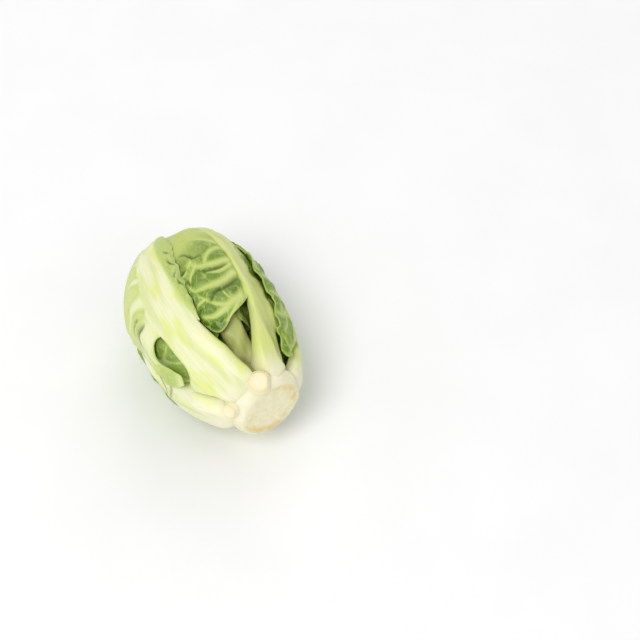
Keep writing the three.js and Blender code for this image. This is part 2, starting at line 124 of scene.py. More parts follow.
# %% Curve helpers
def through(rows, key):
    """Hermite curve through rows [key, value...], read at an array of keys. Returns values on a last axis."""
    rows = np.asarray(rows, float)
    x, y = rows[:, 0], rows[:, 1:]
    order = np.arange(len(x))
    low, high = np.maximum(order - 1, 0), np.minimum(order + 1, len(x) - 1)
    slope = (y[high] - y[low]) / (x[high] - x[low])[:, None]
    key = np.clip(np.asarray(key, float), x[0], x[-1])
    i = np.clip(np.searchsorted(x, key, side="right") - 1, 0, len(x) - 2)
    span = (x[i + 1] - x[i])[..., None]
    t = (key - x[i])[..., None] / span
    rise = t * t * (3 - 2 * t)
    early = t * (1 - t) ** 2 * span * slope[i]
    late = t * t * (t - 1) * span * slope[i + 1]
    return y[i] + (y[i + 1] - y[i]) * rise + early + late


def along(points, share):
    """The curve through plain points, read at shares 0 to 1 of its length."""
    points = np.asarray(points, float)
    run = np.concatenate([[0], np.cumsum(np.linalg.norm(np.diff(points, axis=0), axis=1))])
    return through(np.column_stack([run, points]), np.asarray(share) * run[-1])


def smooth(value, low, high):
    """0 below low, 1 above high, and a smooth S between."""
    t = np.clip((value - low) / (high - low), 0, 1)
    return t * t * (3 - 2 * t)


def mix(a, b, share):
    """a at share 0, b at share 1, and the straight line between."""
    return a + (b - a) * share


# %% [markdown]
# The head's outline, and places on it
#
# A place is a direction from the head's middle. In a leaf's own coordinates v runs in degrees from the stalk
# (0) over the belly (90) to the crown (180) along the midrib, and u is the angle to the side. A depth is
# counted inwards along the egg's normal, so all the leaves are layers of one family of surfaces.

# %% Outline and leaf coordinates
def leaf_frame(longitude):
    """A leaf's two directions across the head's axis: out to its midrib, and to its right."""
    a = math.radians(longitude)
    return np.array([0, math.sin(a), math.cos(a)]), np.array([0, math.cos(a), -math.sin(a)])


DENT_DIRECTION = math.sin(math.radians(DENT_V)) * leaf_frame(DENT_LONGITUDE)[0]
DENT_DIRECTION[0] = math.cos(math.radians(DENT_V))


def head_point(d, depth):
    """Egg point for unit directions d: half axes times d, less bow, less depth and dent by the normal."""
    half = HEAD_HALF_LENGTH + STALK_END_STRETCH * d[..., 0]
    normal = np.stack([d[..., 0] / half, d[..., 1] / HEAD_RADIUS, d[..., 2] / HEAD_RADIUS], -1)
    normal /= np.linalg.norm(normal, axis=-1, keepdims=True)
    x = half * d[..., 0]
    bow = AXIS_BOW * (1 - ((x - BOW_CENTRE) / BOW_HALF_SPAN) ** 2)
    place = np.stack([x, HEAD_RADIUS * d[..., 1] - bow, HEAD_RADIUS * d[..., 2]], -1)
    away = np.degrees(np.arccos(np.clip(d @ DENT_DIRECTION, -1, 1)))
    dent = DENT_DEPTH * np.exp(-((away / DENT_SPREAD) ** 2))
    return place - normal * (np.asarray(depth) + dent)[..., None]


def direction(leaf, u, v):
    """Unit vectors: cos u cos v to the stalk, cos u sin v up the leaf, sin u to its side."""
    up, side = leaf["frame"]
    u, v = np.radians(u), np.radians(v)
    stalkward = np.array([1.0, 0, 0])
    return (
        (np.cos(u) * np.cos(v))[..., None] * stalkward
        + (np.cos(u) * np.sin(v))[..., None] * up
        + np.sin(u)[..., None] * side
    )


def coordinates(leaf, d):
    """The way back from unit vectors: u from the sine to the side, v from the angle in the midrib's plane."""
    up, side = leaf["frame"]
    u = np.degrees(np.arcsin(np.clip(d @ side, -1, 1)))
    v = (np.degrees(np.arctan2(d @ up, d[..., 0])) - V_START) % 360 + V_START
    return u, v


# %% [markdown]
# The leaves
#
# Each leaf is noted by its rib, as rows of v, centre, half width and thickness, and by each side's edges.
# The inner edge runs from the rib down the lobe that hangs back towards the stalk, and the outer edge from
# there up to the shoulder. The other fields are the midrib's longitude round the head, the v of the tip, the
# height of the relief, the mesh step in degrees, how far the pale rib reaches to the left, to the right and
# up, how many veins each side gets by rule, the room of each blade, and the v over which the cream base ends
# and the young, lighter tip begins.

# %% Outer leaves
LEAVES = [
    dict(
        name="wrapper_leaf_1", longitude=-37, tip=150, relief=0.75, step=0.55, pale=(1.25, 1.0, 150),
        young=(30, 90), room=(1.3, 0.85), cream=(26, 44), ruled=(0, 0), crinkled_right=True,
        rib=[
            [22, 1, 15, 3.0], [38, 0.5, 18.5, 2.8], [43, -3, 21.5, 2.6], [47, -5.5, 23.5, 2.5],
            [51, -5, 23, 2.4], [55, -2.5, 20.5, 2.3], [60, -1.5, 18, 2.2], [66, -2, 17, 2.1],
            [78, -3, 15.5, 1.9], [90, -2, 13.5, 1.7], [110, 0, 10, 1.4], [150, 0, 5, 1.1],
        ],
        left=dict(
            inner=[[18.5, 80], [24, 81.5], [30, 80], [33.5, 75], [33, 69], [30, 63], [25.5, 58], [28, 52.5]],
            outer=[
                [28, 52.5], [38, 53], [45, 59], [47, 70], [50, 82],
                [54, 94], [57, 110], [48, 129], [30, 143],
            ],
        ),
        right=dict(
            inner=[[13, 74], [14.2, 73], [15, 74]],
            outer=[[15, 74], [17.5, 82], [19.5, 90], [21, 101], [22, 113], [21, 128], [15, 143]],
        ),
    ),
    dict(
        name="wrapper_leaf_2", longitude=85, tip=132, relief=0.7, step=0.6, pale=(1.2, 1.2, 44),
        rib=[
            [22, -2, 15.5, 2.9], [36, -1.5, 15.5, 2.6], [50, 0.5, 12.5, 2.2],
            [70, 0, 10.5, 1.8], [100, 0, 8, 1.4], [132, 0, 4, 1.0],
        ],
        left=dict(
            inner=[[14, 57], [18, 48], [21, 41], [25, 36.5], [31, 36]],
            outer=[
                [31, 36], [35, 42], [36, 51], [35, 60], [36.5, 74],
                [38.5, 86], [36.5, 94], [28, 105], [17, 117],
            ],
        ),
        right=dict(
            inner=[[14, 57], [19, 49], [27, 43], [34, 41]],
            outer=[[34, 41], [44, 52], [50, 68], [52, 86], [44, 106], [24, 123]],
        ),
    ),
    dict(
        name="wrapper_leaf_3", longitude=-98, tip=140, relief=0.6, step=0.75, pale=(1.0, 1.0, 53),
        rib=[
            [22, 0, 17, 2.9], [36, 0, 19, 2.6], [50, 0, 18, 2.2],
            [66, 0, 14, 1.8], [100, 0, 8, 1.4], [140, 0, 4, 1.0],
        ],
        left=dict(
            inner=[[15, 62], [24, 58], [32, 53], [38, 52]],
            outer=[[38, 52], [46, 64], [51, 82], [50, 100], [42, 118], [24, 132]],
        ),
        right=dict(
            inner=[[15, 60], [21, 54], [28, 49], [32, 49]],
            outer=[[32, 49], [38, 66], [41, 88], [38, 108], [22, 130]],
        ),
    ),
    dict(
        name="wrapper_leaf_4", longitude=30, tip=156, relief=0.95, step=0.55, pale=(1.0, 2.2, 150),
        young=(98, 128), ruled=(0, 6),
        rib=[
            [22, -5, 15, 2.9], [36, -4, 16, 2.8], [50, -2.5, 14.5, 2.4], [64, 0.5, 12, 2.0],
            [76, 2, 9, 1.8], [90, 2.5, 6.5, 1.6], [112, 2, 5, 1.4], [156, 0, 3, 1.1],
        ],
        left=dict(
            inner=[[7, 75], [12, 72.5], [19, 69], [26, 65.5], [33, 59.5], [38, 56.5], [43, 57], [48, 62]],
            outer=[[48, 62], [51, 70], [54, 80], [55, 94], [53, 112], [44, 132], [27, 148]],
        ),
        right=dict(
            inner=[[12, 57], [18, 50], [25, 49]],
            outer=[[25, 49], [34, 62], [40, 84], [40, 106], [34, 130], [20, 149]],
        ),
    ),
    dict(
        name="wrapper_leaf_5", longitude=179, tip=148, relief=0.6, step=0.9, pale=(1.0, 1.0, 70),
        rib=[[24, 0, 18, 2.8], [46, 0, 18.5, 2.5], [75, 0, 18, 1.9], [100, 0, 15, 1.5], [148, 0, 5, 1.0]],
        left=dict(
            inner=[[14, 66], [22, 61], [30, 57], [35, 57]],
            outer=[[35, 57], [45, 70], [50, 90], [48, 110], [38, 130], [24, 142]],
        ),
        right=dict(
            inner=[[14, 66], [22, 62], [30, 58], [34, 57]],
            outer=[[34, 57], [44, 70], [49, 90], [47, 112], [38, 130], [24, 142]],
        ),
    ),
]

# %% [markdown]
# The inner leaves follow one rule. They sit at the turns of the sprout's spiral, close over the crown, and
# show only in the gaps between the outer leaves. Each turn is a longitude, the v of the tip, the rib's half
# width, the blade's breadth, and how much more of the breadth is on the left, all in degrees.

# %% Inner leaves
def head_leaf(number, longitude, tip, rib_width, breadth, lean):
    """A leaf whose edges are shares of its breadth and whose rib narrows to a quarter."""

    def side(wide):
        return dict(
            inner=[[rib_width * 0.75, 66], [wide * 0.5, 60], [wide * 0.72, 57]],
            outer=[
                [wide * 0.72, 57], [wide * 0.93, 74], [wide, 100], [wide * 0.94, 126],
                [wide * 0.74, tip - 26], [wide * 0.42, tip - 7],
            ],
        )

    return dict(
        name="head_leaf_%d" % number, longitude=longitude, tip=tip, relief=0.5, step=1.0, inner=True,
        pale=(0.9, 0.9, 62), ruled=(4, 4),
        rib=[
            [34, 0, rib_width, 1.9], [50, 0, rib_width, 1.7], [75, 0, rib_width * 0.7, 1.3],
            [105, 0, rib_width * 0.45, 1.1], [tip, 0, rib_width * 0.25, 0.9],
        ],
        left=side(breadth + lean),
        right=side(breadth - lean),
    )


HEAD_TURNS = [
    (0, 165, 14, 46, -1), (-138, 168, 14, 50, 1), (112, 172, 14, 50, 3),
    (-64, 176, 13, 48, -2), (52, 180, 13, 46, 0), (-178, 186, 13, 48, 2),
]
LEAVES += [head_leaf(number + 1, *turn) for number, turn in enumerate(HEAD_TURNS)]
for leaf in LEAVES:
    leaf["frame"] = leaf_frame(leaf["longitude"])
print("leaves:", ", ".join(leaf["name"] for leaf in LEAVES))

# %% [markdown]
# A blade is a Coons patch: its four edges are the rib, the lobe's inner edge, the outer edge and the top
# edge, and every point between is blended from the points of the edges beside it.

# %% Blade patch
def rib_at(leaf, v):
    """The rib's centre, half width and thickness at v."""
    values = through(leaf["rib"], v)
    return values[..., 0], values[..., 1], values[..., 2]


def layer_thickness(leaf, u, v):
    """How much room a leaf takes: its rib's thickness, easing beside the rib to the room of its blade."""
    centre, half, thickness = rib_at(leaf, v)
    if leaf.get("inner"):
        return thickness
    left, right = leaf.get("room", (BLADE_ROOM, BLADE_ROOM))
    room = np.where(u < centre, left, right) * mix(1, TIP_THINNING, smooth(v, *TIP_RUN))
    return mix(thickness, np.minimum(thickness, room), smooth(np.abs(u - centre) / half, *RIB_RUN))


def blade_point(leaf, side_name, across, rise):
    """Leaf coordinates for across (0 at the rib, 1 at the edge) and rise (0 at the lobe, 1 at the top)."""
    side = leaf[side_name]
    sign = -1 if side_name == "left" else 1
    attach = side["inner"][0][1]

    def rib_edge(t):
        v = mix(attach, leaf["tip"], t)
        centre, half, _ = rib_at(leaf, v)
        return np.stack([sign * centre + half, v + 0 * half], -1)

    shoulder = np.array(side["outer"][-1], float)
    lobe = np.array(side["outer"][0], float)
    start, tip = rib_edge(np.array(0.0)), rib_edge(np.array(1.0))
    low = along([start] + side["inner"][1:], across)
    top_u = mix(tip[0], shoulder[0], across)
    top_v = mix(tip[1], shoulder[1], across * across)
    high = np.stack([top_u, top_v], -1)
    near, far = rib_edge(rise), along(side["outer"], rise)
    a, r = across[..., None], rise[..., None]
    corners = (1 - a) * (1 - r) * start + a * (1 - r) * lobe + (1 - a) * r * tip + a * r * shoulder
    place = (1 - r) * low + r * high + (1 - a) * near + a * far - corners
    return sign * place[..., 0], place[..., 1]


# %% [markdown]
# Which leaf covers which
#
# For every leaf a chart holds how far each place lies outside its outline. A leaf under it is pushed in by
# its thickness there, in full beneath it, and fading to nothing beside it. Summed over all the leaves
# outside, this gives each leaf its depth, so that no two can pass through each other.

# %% Outline charts and layer depth
CHART_U = U_START + np.arange(181.0)
CHART_V = V_START + np.arange(361.0)
LAST_CELL = 0.001  # a place is kept this much short of a chart's far edge
FAR_AWAY = 1e9
TINY = 1e-12  # keeps a division by a length from failing


def outline(leaf):
    """The leaf's closed outline: up the right side from the base, over the tip and down the left side."""
    halves = []
    for side_name, sign in (("right", 1), ("left", -1)):
        attach = leaf[side_name]["inner"][0][1]
        v = np.linspace(leaf["rib"][0][0], attach, 7)[:-1]
        centre, half, _ = rib_at(leaf, v)
        stem = np.column_stack([centre + sign * half, v])
        share, end = np.linspace(0, 1, 15), np.ones(15)
        edges = [(share, 0 * end), (end, share), (share[::-1], end)]
        patch = [np.column_stack(blade_point(leaf, side_name, a, r)) for a, r in edges]
        halves.append(np.vstack([stem] + patch))
    return np.vstack([halves[0], halves[1][::-1]])


def outside_distance(loop, u, v):
    """Distance in degrees to the polygon, 0 inside it, by crossing count and nearest segment."""
    inside = np.zeros(u.shape, bool)
    best = np.full(u.shape, FAR_AWAY)
    for (x1, y1), (x2, y2) in zip(loop, np.roll(loop, -1, axis=0)):
        if y1 != y2:
            inside ^= ((y1 > v) != (y2 > v)) & (u < (x2 - x1) * (v - y1) / (y2 - y1) + x1)
        length = (x2 - x1) ** 2 + (y2 - y1) ** 2 + TINY
        t = np.clip(((u - x1) * (x2 - x1) + (v - y1) * (y2 - y1)) / length, 0, 1)
        best = np.minimum(best, np.hypot(u - x1 - t * (x2 - x1), v - y1 - t * (y2 - y1)))
    return np.where(inside, 0, best)


def read_chart(chart, u, v):
    """Bilinear reading of a chart on the whole-degree grid."""
    fu = np.clip(u - U_START, 0, 180 - LAST_CELL)
    fv = np.clip(v - V_START, 0, 360 - LAST_CELL)
    i, j = fu.astype(int), fv.astype(int)
    a, b = fu - i, fv - j
    low = mix(chart[i, j], chart[i, j + 1], b)
    return mix(low, mix(chart[i + 1, j], chart[i + 1, j + 1], b), a)


for leaf in LEAVES:
    grid_u, grid_v = np.meshgrid(CHART_U, CHART_V, indexing="ij")
    leaf["chart"] = outside_distance(outline(leaf), grid_u, grid_v)
print("charts made for", len(LEAVES), "leaves")


def layer_depth(order, d):
    """The floor over which a leaf lies: the sum over the leaves outside of cover times room and gap."""
    inside = order >= len(LEAVES) or LEAVES[order].get("inner")
    depth = np.full(d.shape[:-1], HEAD_DROP if inside else 0.0)
    for outer in LEAVES[:order]:
        u, v = coordinates(outer, d)
        away = read_chart(outer["chart"], u, v) - COVER_MARGIN
        fade = mix(BASE_FADE, BLADE_FADE, smooth(v, *FADE_RUN))
        depth += (1 - smooth(away / fade, 0, 1)) * (layer_thickness(outer, u, v) + LEAF_GAP)
    return depth


# %% [markdown]
# Where the solids stand
#
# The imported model's origin is the middle of its footprint. The stalk's own box tells how far the head's axis
# was moved to get there, so the shift is read from the frame and not typed in.

# %% Place of the head
STALK_ROWS = [
    [CORE_TIP_X, 0.8], [CORE_TIP_X + 2, 2.6], [3, 4.2], [11, 5.2], [17, 6.6], [20.5, 7.6],
    [22.6, 7.9], [24.0, 7.6], [24.8, 7.2], [CUT_X, CUT_RADIUS],
]


def stalk_middle(x):
    """The stalk's middle line: the bowed axis, bent a little to the side and up near the cut."""
    bow = AXIS_BOW * (1 - ((x - BOW_CENTRE) / BOW_HALF_SPAN) ** 2)
    share = smooth(x, BEND_START, CUT_X)
    return np.stack([x, STALK_BEND * share - bow, STALK_RISE * share], -1)


stalk_low, stalk_high = [np.array(corner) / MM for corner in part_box("stalk")]
row_x, row_radius = np.array(STALK_ROWS).T
widest_y = (stalk_middle(row_x)[:, 1] + row_radius).max()
SHIFT = np.array([stalk_low[0] - CORE_TIP_X, stalk_high[1] - widest_y, AXIS_HEIGHT])
print("head moved by, in mm:", SHIFT.round(3))

# %% [markdown]
# Relief
#
# A leaf's outside is never smooth. Lateral veins stand out as pale ridges, the blade puffs up in blisters
# between them, and it folds into creases beside the big ones. Each vein is a curve; a point's distance to it
# gives the ridge and, later, the colour. The small blisters are the cells of a jittered grid.

# %% Distances and cells
MM_PER_V = 0.37
EGG_STRETCH = 0.04  # the egg's flanks are longer than its ends by this wave
JITTER = 0.38
HASH_ROWS = [(127.1, 311.7, 1.0, 43758.5453), (269.5, 183.3, 1.7, 24634.6345)]


def to_mm(u, v):
    """Leaf coordinates as a flat map in millimetres, true to size near the midrib."""
    stretch = MM_PER_V * v - EGG_STRETCH * np.degrees(np.sin(np.radians(2 * (v - 90))))
    return np.stack([u * math.radians(HEAD_RADIUS), stretch], -1)


def near_curve(place, curve):
    """Distance from places to a smooth curve through points, and how far along it the nearest point is."""
    points = to_mm(*along(curve, np.linspace(0, 1, 6 * len(curve))).T)
    best = np.full(place.shape[:-1], FAR_AWAY)
    share = np.zeros_like(best)
    count = len(points) - 1
    for i in range(count):
        step = points[i + 1] - points[i]
        t = np.clip(((place - points[i]) @ step) / (step @ step + TINY), 0, 1)
        away = np.linalg.norm(place - points[i] - t[..., None] * step, axis=-1)
        closer = away < best
        best = np.where(closer, away, best)
        share = np.where(closer, (i + t) / count, share)
    return best, share


def cell_middle(cell, seed):
    """A jittered place in each cell, by the usual hash: the sine of a large multiple of a sine."""
    mixed = [np.sin(cell @ np.array([a, b]) + seed * c) * large for a, b, c, large in HASH_ROWS]
    return cell + 0.5 + JITTER * np.sin(np.stack(mixed, -1))


def cells(place, size, seed):
    """Jittered-grid cells: the distance from each place to the nearest border between two cells."""
    spot = place / size
    base = np.floor(spot)
    near = np.full(place.shape[:-1], FAR_AWAY)
    second = near.copy()
    for i in (-1, 0, 1):
        for j in (-1, 0, 1):
            away = np.linalg.norm(spot - cell_middle(base + [i, j], seed), axis=-1)
            second = np.minimum(np.maximum(near, away), second)
            near = np.minimum(near, away)
    return (second - near) * size


def ripples(place, size, seed, count=7):
    """Smooth uneven waves, about -1 to 1: a sum of sines in seeded directions."""
    rng = np.random.default_rng(seed)
    turn = rng.uniform(0, 2 * np.pi, count)
    scale = rng.uniform(0.6, 1.6, count) * 2 * np.pi / size
    offset = rng.uniform(0, 2 * np.pi, count)
    wave = np.cos(turn) * scale, np.sin(turn) * scale
    total = np.zeros(place.shape[:-1])
    for i in range(count):
        total += np.sin(place[..., 0] * wave[0][i] + place[..., 1] * wave[1][i] + offset[i])
    return total / math.sqrt(count)


# %% [markdown]
# The veins that show most are noted one by one, on four leaves; on head_leaf_1 they are the ridges of its
# curled margin, painted pale as a highlight. Each is a list of points, then the width at its start and end. A
# crease is a list of points and a width; the blade cuts in along it, and a dark colour is painted along it as
# shade. The other
# veins follow a rule: laterals leave the rib at even steps and sweep up towards the edge, the lowest turns
# down into the lobe, and each forks.

# %% Noted veins and creases
VEINS = {
    "wrapper_leaf_4": [
        ([(-3, 80), (-13, 75.5), (-22, 73), (-29, 70), (-38, 67), (-45, 67)], 1.5, 0.6),
        ([(-26, 71.5), (-33, 74), (-38, 78), (-42, 82)], 0.7, 0.35),
        ([(-15, 75), (-22, 69), (-30, 63)], 0.7, 0.3),
        ([(1, 86), (-7, 89), (-16, 87), (-26, 85.5), (-33, 86), (-41, 87)], 1.5, 0.7),
        ([(5, 93), (1, 97), (-8, 97.5), (-17, 98), (-25, 99.5), (-31, 102), (-34, 108)], 1.3, 0.6),
        ([(-2, 95.5), (-10, 94), (-19, 93), (-27, 95)], 0.8, 0.4),
        ([(12, 103), (7, 107), (0, 110), (-8, 114), (-15, 119), (-25, 127)], 1.2, 0.5),
        ([(9, 102), (2, 104.5), (-4, 107), (-12, 107.5), (-19, 105.5), (-25, 101)], 0.9, 0.5),
        ([(10, 114), (0, 121), (-10, 129), (-22, 138)], 1.0, 0.5),
        ([(-31, 104), (-40, 99), (-45, 91), (-43, 87)], 0.6, 0.5),
        ([(-33, 108), (-39, 106), (-44, 103), (-51, 103)], 0.6, 0.4),
        ([(-40, 79), (-46, 77), (-50, 73)], 0.45, 0.3),
        ([(-20, 74), (-24, 79), (-23, 84)], 0.35, 0.25),
    ],
    "wrapper_leaf_1": [
        ([(-15, 84), (-24, 87), (-34, 89), (-42, 87), (-46, 82), (-47, 75)], 5.4, 2.6),
        ([(-23, 84), (-33, 83), (-38, 78), (-38, 72)], 4.4, 1.6),
        ([(-13, 101), (-24, 106), (-36, 109), (-48, 108)], 2.8, 1.4),
        ([(-12, 116), (-22, 122), (-33, 125)], 1.6, 0.7),
        ([(-9, 130), (-18, 136)], 1.2, 0.6),
    ],
    "wrapper_leaf_3": [
        (
            [
                (20, 108), (20, 101), (18, 94), (14, 87), (10.5, 80),
                (8, 74), (5, 69), (1, 65), (-10, 62.5), (-18, 61),
            ],
            0.7, 0.5,
        ),
        ([(10, 110), (9, 98), (4, 86), (-2, 76), (-9, 69)], 0.6, 0.4),
    ],
    # These two are ridges of this leaf's curled margin; their pale vein colour is a painted highlight on the
    # curl
    "head_leaf_1": [
        ([(8, 68), (12.6, 71), (18, 74), (24, 76), (30, 76)], 0.8, 0.5),
        ([(12.6, 71), (10.5, 67.6), (13.8, 65.5), (20, 67), (23, 71), (20, 73.5)], 0.7, 0.5),
    ],
}
# Creases: the blade cuts in along these, and a dark colour is painted along them as shade
CREASES = {
    "wrapper_leaf_4": [
        ([(-6, 86.5), (-15, 84), (-23, 82), (-30, 80.5), (-36, 77)], 0.55),
        ([(-10, 95.5), (-18, 95), (-25, 95.5), (-32, 98)], 0.4),
        ([(-24, 106), (-29, 108), (-31, 111), (-34, 115), (-37, 117)], 0.35),
        ([(-38, 107), (-45, 105)], 0.4),
        ([(-43, 98), (-44, 93)], 0.35),
        ([(-49, 86), (-49, 81)], 0.35),
    ],
    "wrapper_leaf_1": [
        ([(-25.5, 92), (-31.5, 93), (-37, 93), (-41, 90), (-43, 86)], 0.8),
        ([(-28, 99), (-37, 100), (-44, 99)], 0.35),
        ([(19, 93), (17, 96), (17.5, 98)], 0.35),
        ([(15.5, 100), (18.5, 102.5)], 0.3),
        ([(20, 107), (17, 109.5), (16, 113)], 0.35),
        ([(19, 117), (15, 120)], 0.3),
    ],
    "wrapper_leaf_3": [
        ([(22, 104), (21, 97), (17, 89), (13, 82), (10.5, 76), (8, 71), (4, 67), (-4, 65)], 0.5),
        ([(14, 92), (8, 82), (3, 74), (-3, 68)], 0.3),
    ],
}


VEIN_START, VEIN_UNEVEN = 0.12, 0.12  # where a lateral leaves the rib, as a share of one step, and its play
VEIN_SWEEP = 0.16
VEIN_ARCH, LOBE_ARCH = 0.02, -0.08  # the laterals arch up a little, and the lowest one down
VEIN_WOBBLE = 0.012
VEIN_REACH = (0.8, 0.95)
FORK_REACH = 0.45
FORK_TURNS = [-0.5, 0.6]
VEIN_TOP = 0.98
VEIN_POINTS, FORK_POINTS, FORK_AT = 6, 4, 2
ROOT_SHARE, ROOT_DROP = 0.25, 4  # a lateral begins this far out in the midrib, and this much lower
LATERAL_WIDTHS, LATERAL_END = (1.2, 0.8), 0.4
FORK_WIDTHS = (0.7, 0.3)


def ruled_veins(leaf, side_name, count):
    """Laterals by rule: rise = start + sweep times across^1.3 + arch, on the patch, each with a fork."""
    found = []
    rng = np.random.default_rng(int(leaf["longitude"]) + 500 + len(side_name))
    for k in range(count):
        start = (k + VEIN_START + rng.uniform(-VEIN_UNEVEN, VEIN_UNEVEN)) / count
        across = np.linspace(0, rng.uniform(*VEIN_REACH), VEIN_POINTS)
        arch = (VEIN_ARCH if k else LOBE_ARCH) * np.sin(np.pi * across)
        lift = VEIN_SWEEP * across**1.3 * (1 - start) + arch
        lift += rng.uniform(-VEIN_WOBBLE, VEIN_WOBBLE, VEIN_POINTS)
        u, v = blade_point(leaf, side_name, across, np.clip(start + lift, 0, VEIN_TOP))
        root = (mix(rib_at(leaf, v[0])[0], u[0], ROOT_SHARE), v[0] - ROOT_DROP)
        found.append(([root] + list(zip(u, v)), mix(*LATERAL_WIDTHS, start), LATERAL_END))
        fork = np.linspace(0, 1, FORK_POINTS)
        fork_start = start + lift[FORK_AT]
        fork_end = fork_start + rng.choice(FORK_TURNS) / count
        fork_across = mix(across[FORK_AT], min(across[FORK_AT] + FORK_REACH, VEIN_REACH[1]), fork)
        fork_rise = mix(fork_start, fork_end, fork**0.8)
        u, v = blade_point(leaf, side_name, fork_across, np.clip(fork_rise, 0, VEIN_TOP))
        found.append((list(zip(u, v)), *FORK_WIDTHS))
    return found


# %% [markdown]
# A leaf's skin
#
# The rib strip and the two blades share their edges, so they become one sheet. The outer skin stands over the
# floor of its layer by the rib's or the blade's thickness and the relief, and never reaches the leaf outside
# it. The inner skin follows below, and a narrow wall closes the edge.

# %% Sheet of a leaf
FEWEST_COLUMNS = 8
STRIP_STEP = 1.3  # the rib's strip is smooth, so its columns are this much wider than the blades' steps


def margin_wave(leaf, v):
    """The swing of a margin along v: a wave whose own phase wanders, and a finer one."""
    return np.sin(v * 0.42 + 2 * np.sin(v * 0.13)) + 0.6 * np.sin(v * 1.13 + leaf["longitude"])


def sheet(leaf):
    """Grid of (u, v) for strip and blades, with its quads. Returns arrays on one vertex list."""
    base, tip, step = leaf["rib"][0][0], leaf["tip"], leaf["step"]
    rows = np.linspace(base, tip, int((tip - base) / step) + 1)
    strip_columns = max(FEWEST_COLUMNS, int(2 * leaf["rib"][1][2] / step / STRIP_STEP))
    parts = {key: [] for key in ("u", "v", "across", "rise", "side")}
    quads, total = [], 0

    def add(u, v, across, rise, side):
        nonlocal total
        for key, value in zip(parts, (u, v, across, rise, side)):
            parts[key].append(np.broadcast_to(value, u.shape).ravel())
        index = np.arange(total, total + u.size).reshape(u.shape)
        total += u.size
        return index

    centre, half, _ = rib_at(leaf, rows)
    spread = np.linspace(-1, 1, strip_columns + 1)
    strip_v = np.repeat(rows[:, None], len(spread), 1)
    strip = add(centre[:, None] + half[:, None] * spread, strip_v, 0.0, 0.0, 0)
    grids = [strip]
    for side_name, sign in (("left", -1), ("right", 1)):
        attach = leaf[side_name]["inner"][0][1]
        first = int(np.searchsorted(rows, attach - 0.01))
        rise = (rows[first:] - rows[first]) / (rows[-1] - rows[first])
        reach = max(abs(point[0]) for point in leaf[side_name]["outer"]) - leaf["rib"][1][2] * 0.6
        columns = max(FEWEST_COLUMNS, int(reach / step))
        across = np.linspace(0, 1, columns + 1)[1:]
        a, r = np.meshgrid(across, rise)
        u, v = blade_point(leaf, side_name, a, r)
        ends = np.sin(np.pi * np.clip(r * 1.05, 0, 1)) ** 0.4
        u = u + sign * MARGIN_WAVE * margin_wave(leaf, v) * a**3 * ends
        blade = add(u, v, a, r, sign)
        edge = strip[first:, 0 if sign < 0 else -1][:, None]
        grids.append(np.hstack([edge, blade])[:, :: 1 if sign > 0 else -1])
    for grid in grids:
        corner = grid[:-1, :-1], grid[:-1, 1:], grid[1:, 1:], grid[1:, :-1]
        quads.append(np.stack([c.ravel() for c in corner], -1))
    joined = {key: np.concatenate(value) for key, value in parts.items()}
    return joined, np.vstack(quads)


def petiole_shape(off):
    """A leaf stalk's cross-section over its flat inside: a squarish dome that closes at both edges."""
    return np.clip(1 - np.abs(off) ** 5, 0, 1) ** 0.5


# %% [markdown]
# The relief is added up from what the photograph shows on a blade. It puffs up between the veins, the small
# blisters stand on that, and each vein is a ridge. Creases cut in, and a rib has long furrows. Towards its
# margin a blade goes thin and waves. All heights and widths are in millimetres.

# %% Relief of a leaf
PUFF, PUFF_WIDTH = 0.66, 0.9
BLISTER, BLISTER_SIZE, BLISTER_SLOPE = 0.36, 2.1, 0.55
FINE_BLISTER, FINE_SIZE, FINE_SLOPE = 0.07, 0.85, 0.3
CALM_WIDTH = 0.7  # blisters fade out this close to a vein
CRINKLES, CRINKLE_SHRINK = 2.1, 1.35  # a crinkled blade's blisters are higher and smaller by these
RIDGE, RIDGE_BY_WIDTH = 0.14, 0.22
LIVELINESS = 0.95
SWELL, SWELL_SIZE = 0.16, 9
CREASE_DEPTH = 0.75
FURROW, FURROW_SIZE = 0.16, 3.4
EDGE_WAVE, EDGE_WAVE_LENGTH, CRINKLED_EDGE = 0.32, 5.2, 0.4
MIDRIB_HALF, MIDRIB_RUN = 0.3, 16  # where the pale rib ends, a midrib of this share of it goes on
MIDRIB_STEP = 0.4
LOWERED = 0.12  # the whole skin is set lower by this, so that its blisters find room
THINNEST = 0.12  # and is never nearer to the floor of its layer than this
LEAST_ROOM = 0.05
VEIN_HALF, VEIN_MASK_HALF, VEIN_CORE = 0.5, 0.62, 0.3  # shares of a vein's width
CREASE_HALF = 0.6
WARP = 0.35  # the blisters' grid is pushed about by this much
ATTACH_RUN = (-5, 2)  # a leaf's stalk becomes blade over these degrees round where its blades begin
RIB_FALL, RIB_MASK_RUN = (0.6, 1.35), (0.75, 1.5)
EDGE_RUN, MARGIN_RUN, CRINKLED_RUN = 0.3, 0.25, 0.4
RIM_ACROSS, RIM_RISE = 0.035, 0.02
NET_LINE, FINE_NET_LINE, NET, FINE_NET = 0.2, 0.09, 0.8, 0.5
PANEL_RUN, LIFT_RUN = 0.8, 0.8
CRINKLED_YOUNG = 0.45
BLADE_RUN = (0.9, 1.5)  # from rib to blade, in half widths from the rib's middle
LEAF_MASKS = ("panel", "young", "rib", "base", "vein", "net", "crease_and_shade", "rim", "lift")


def bell(away, width):
    """1 at distance 0, falling off as a bell curve."""
    return np.exp(-((away / width) ** 2))


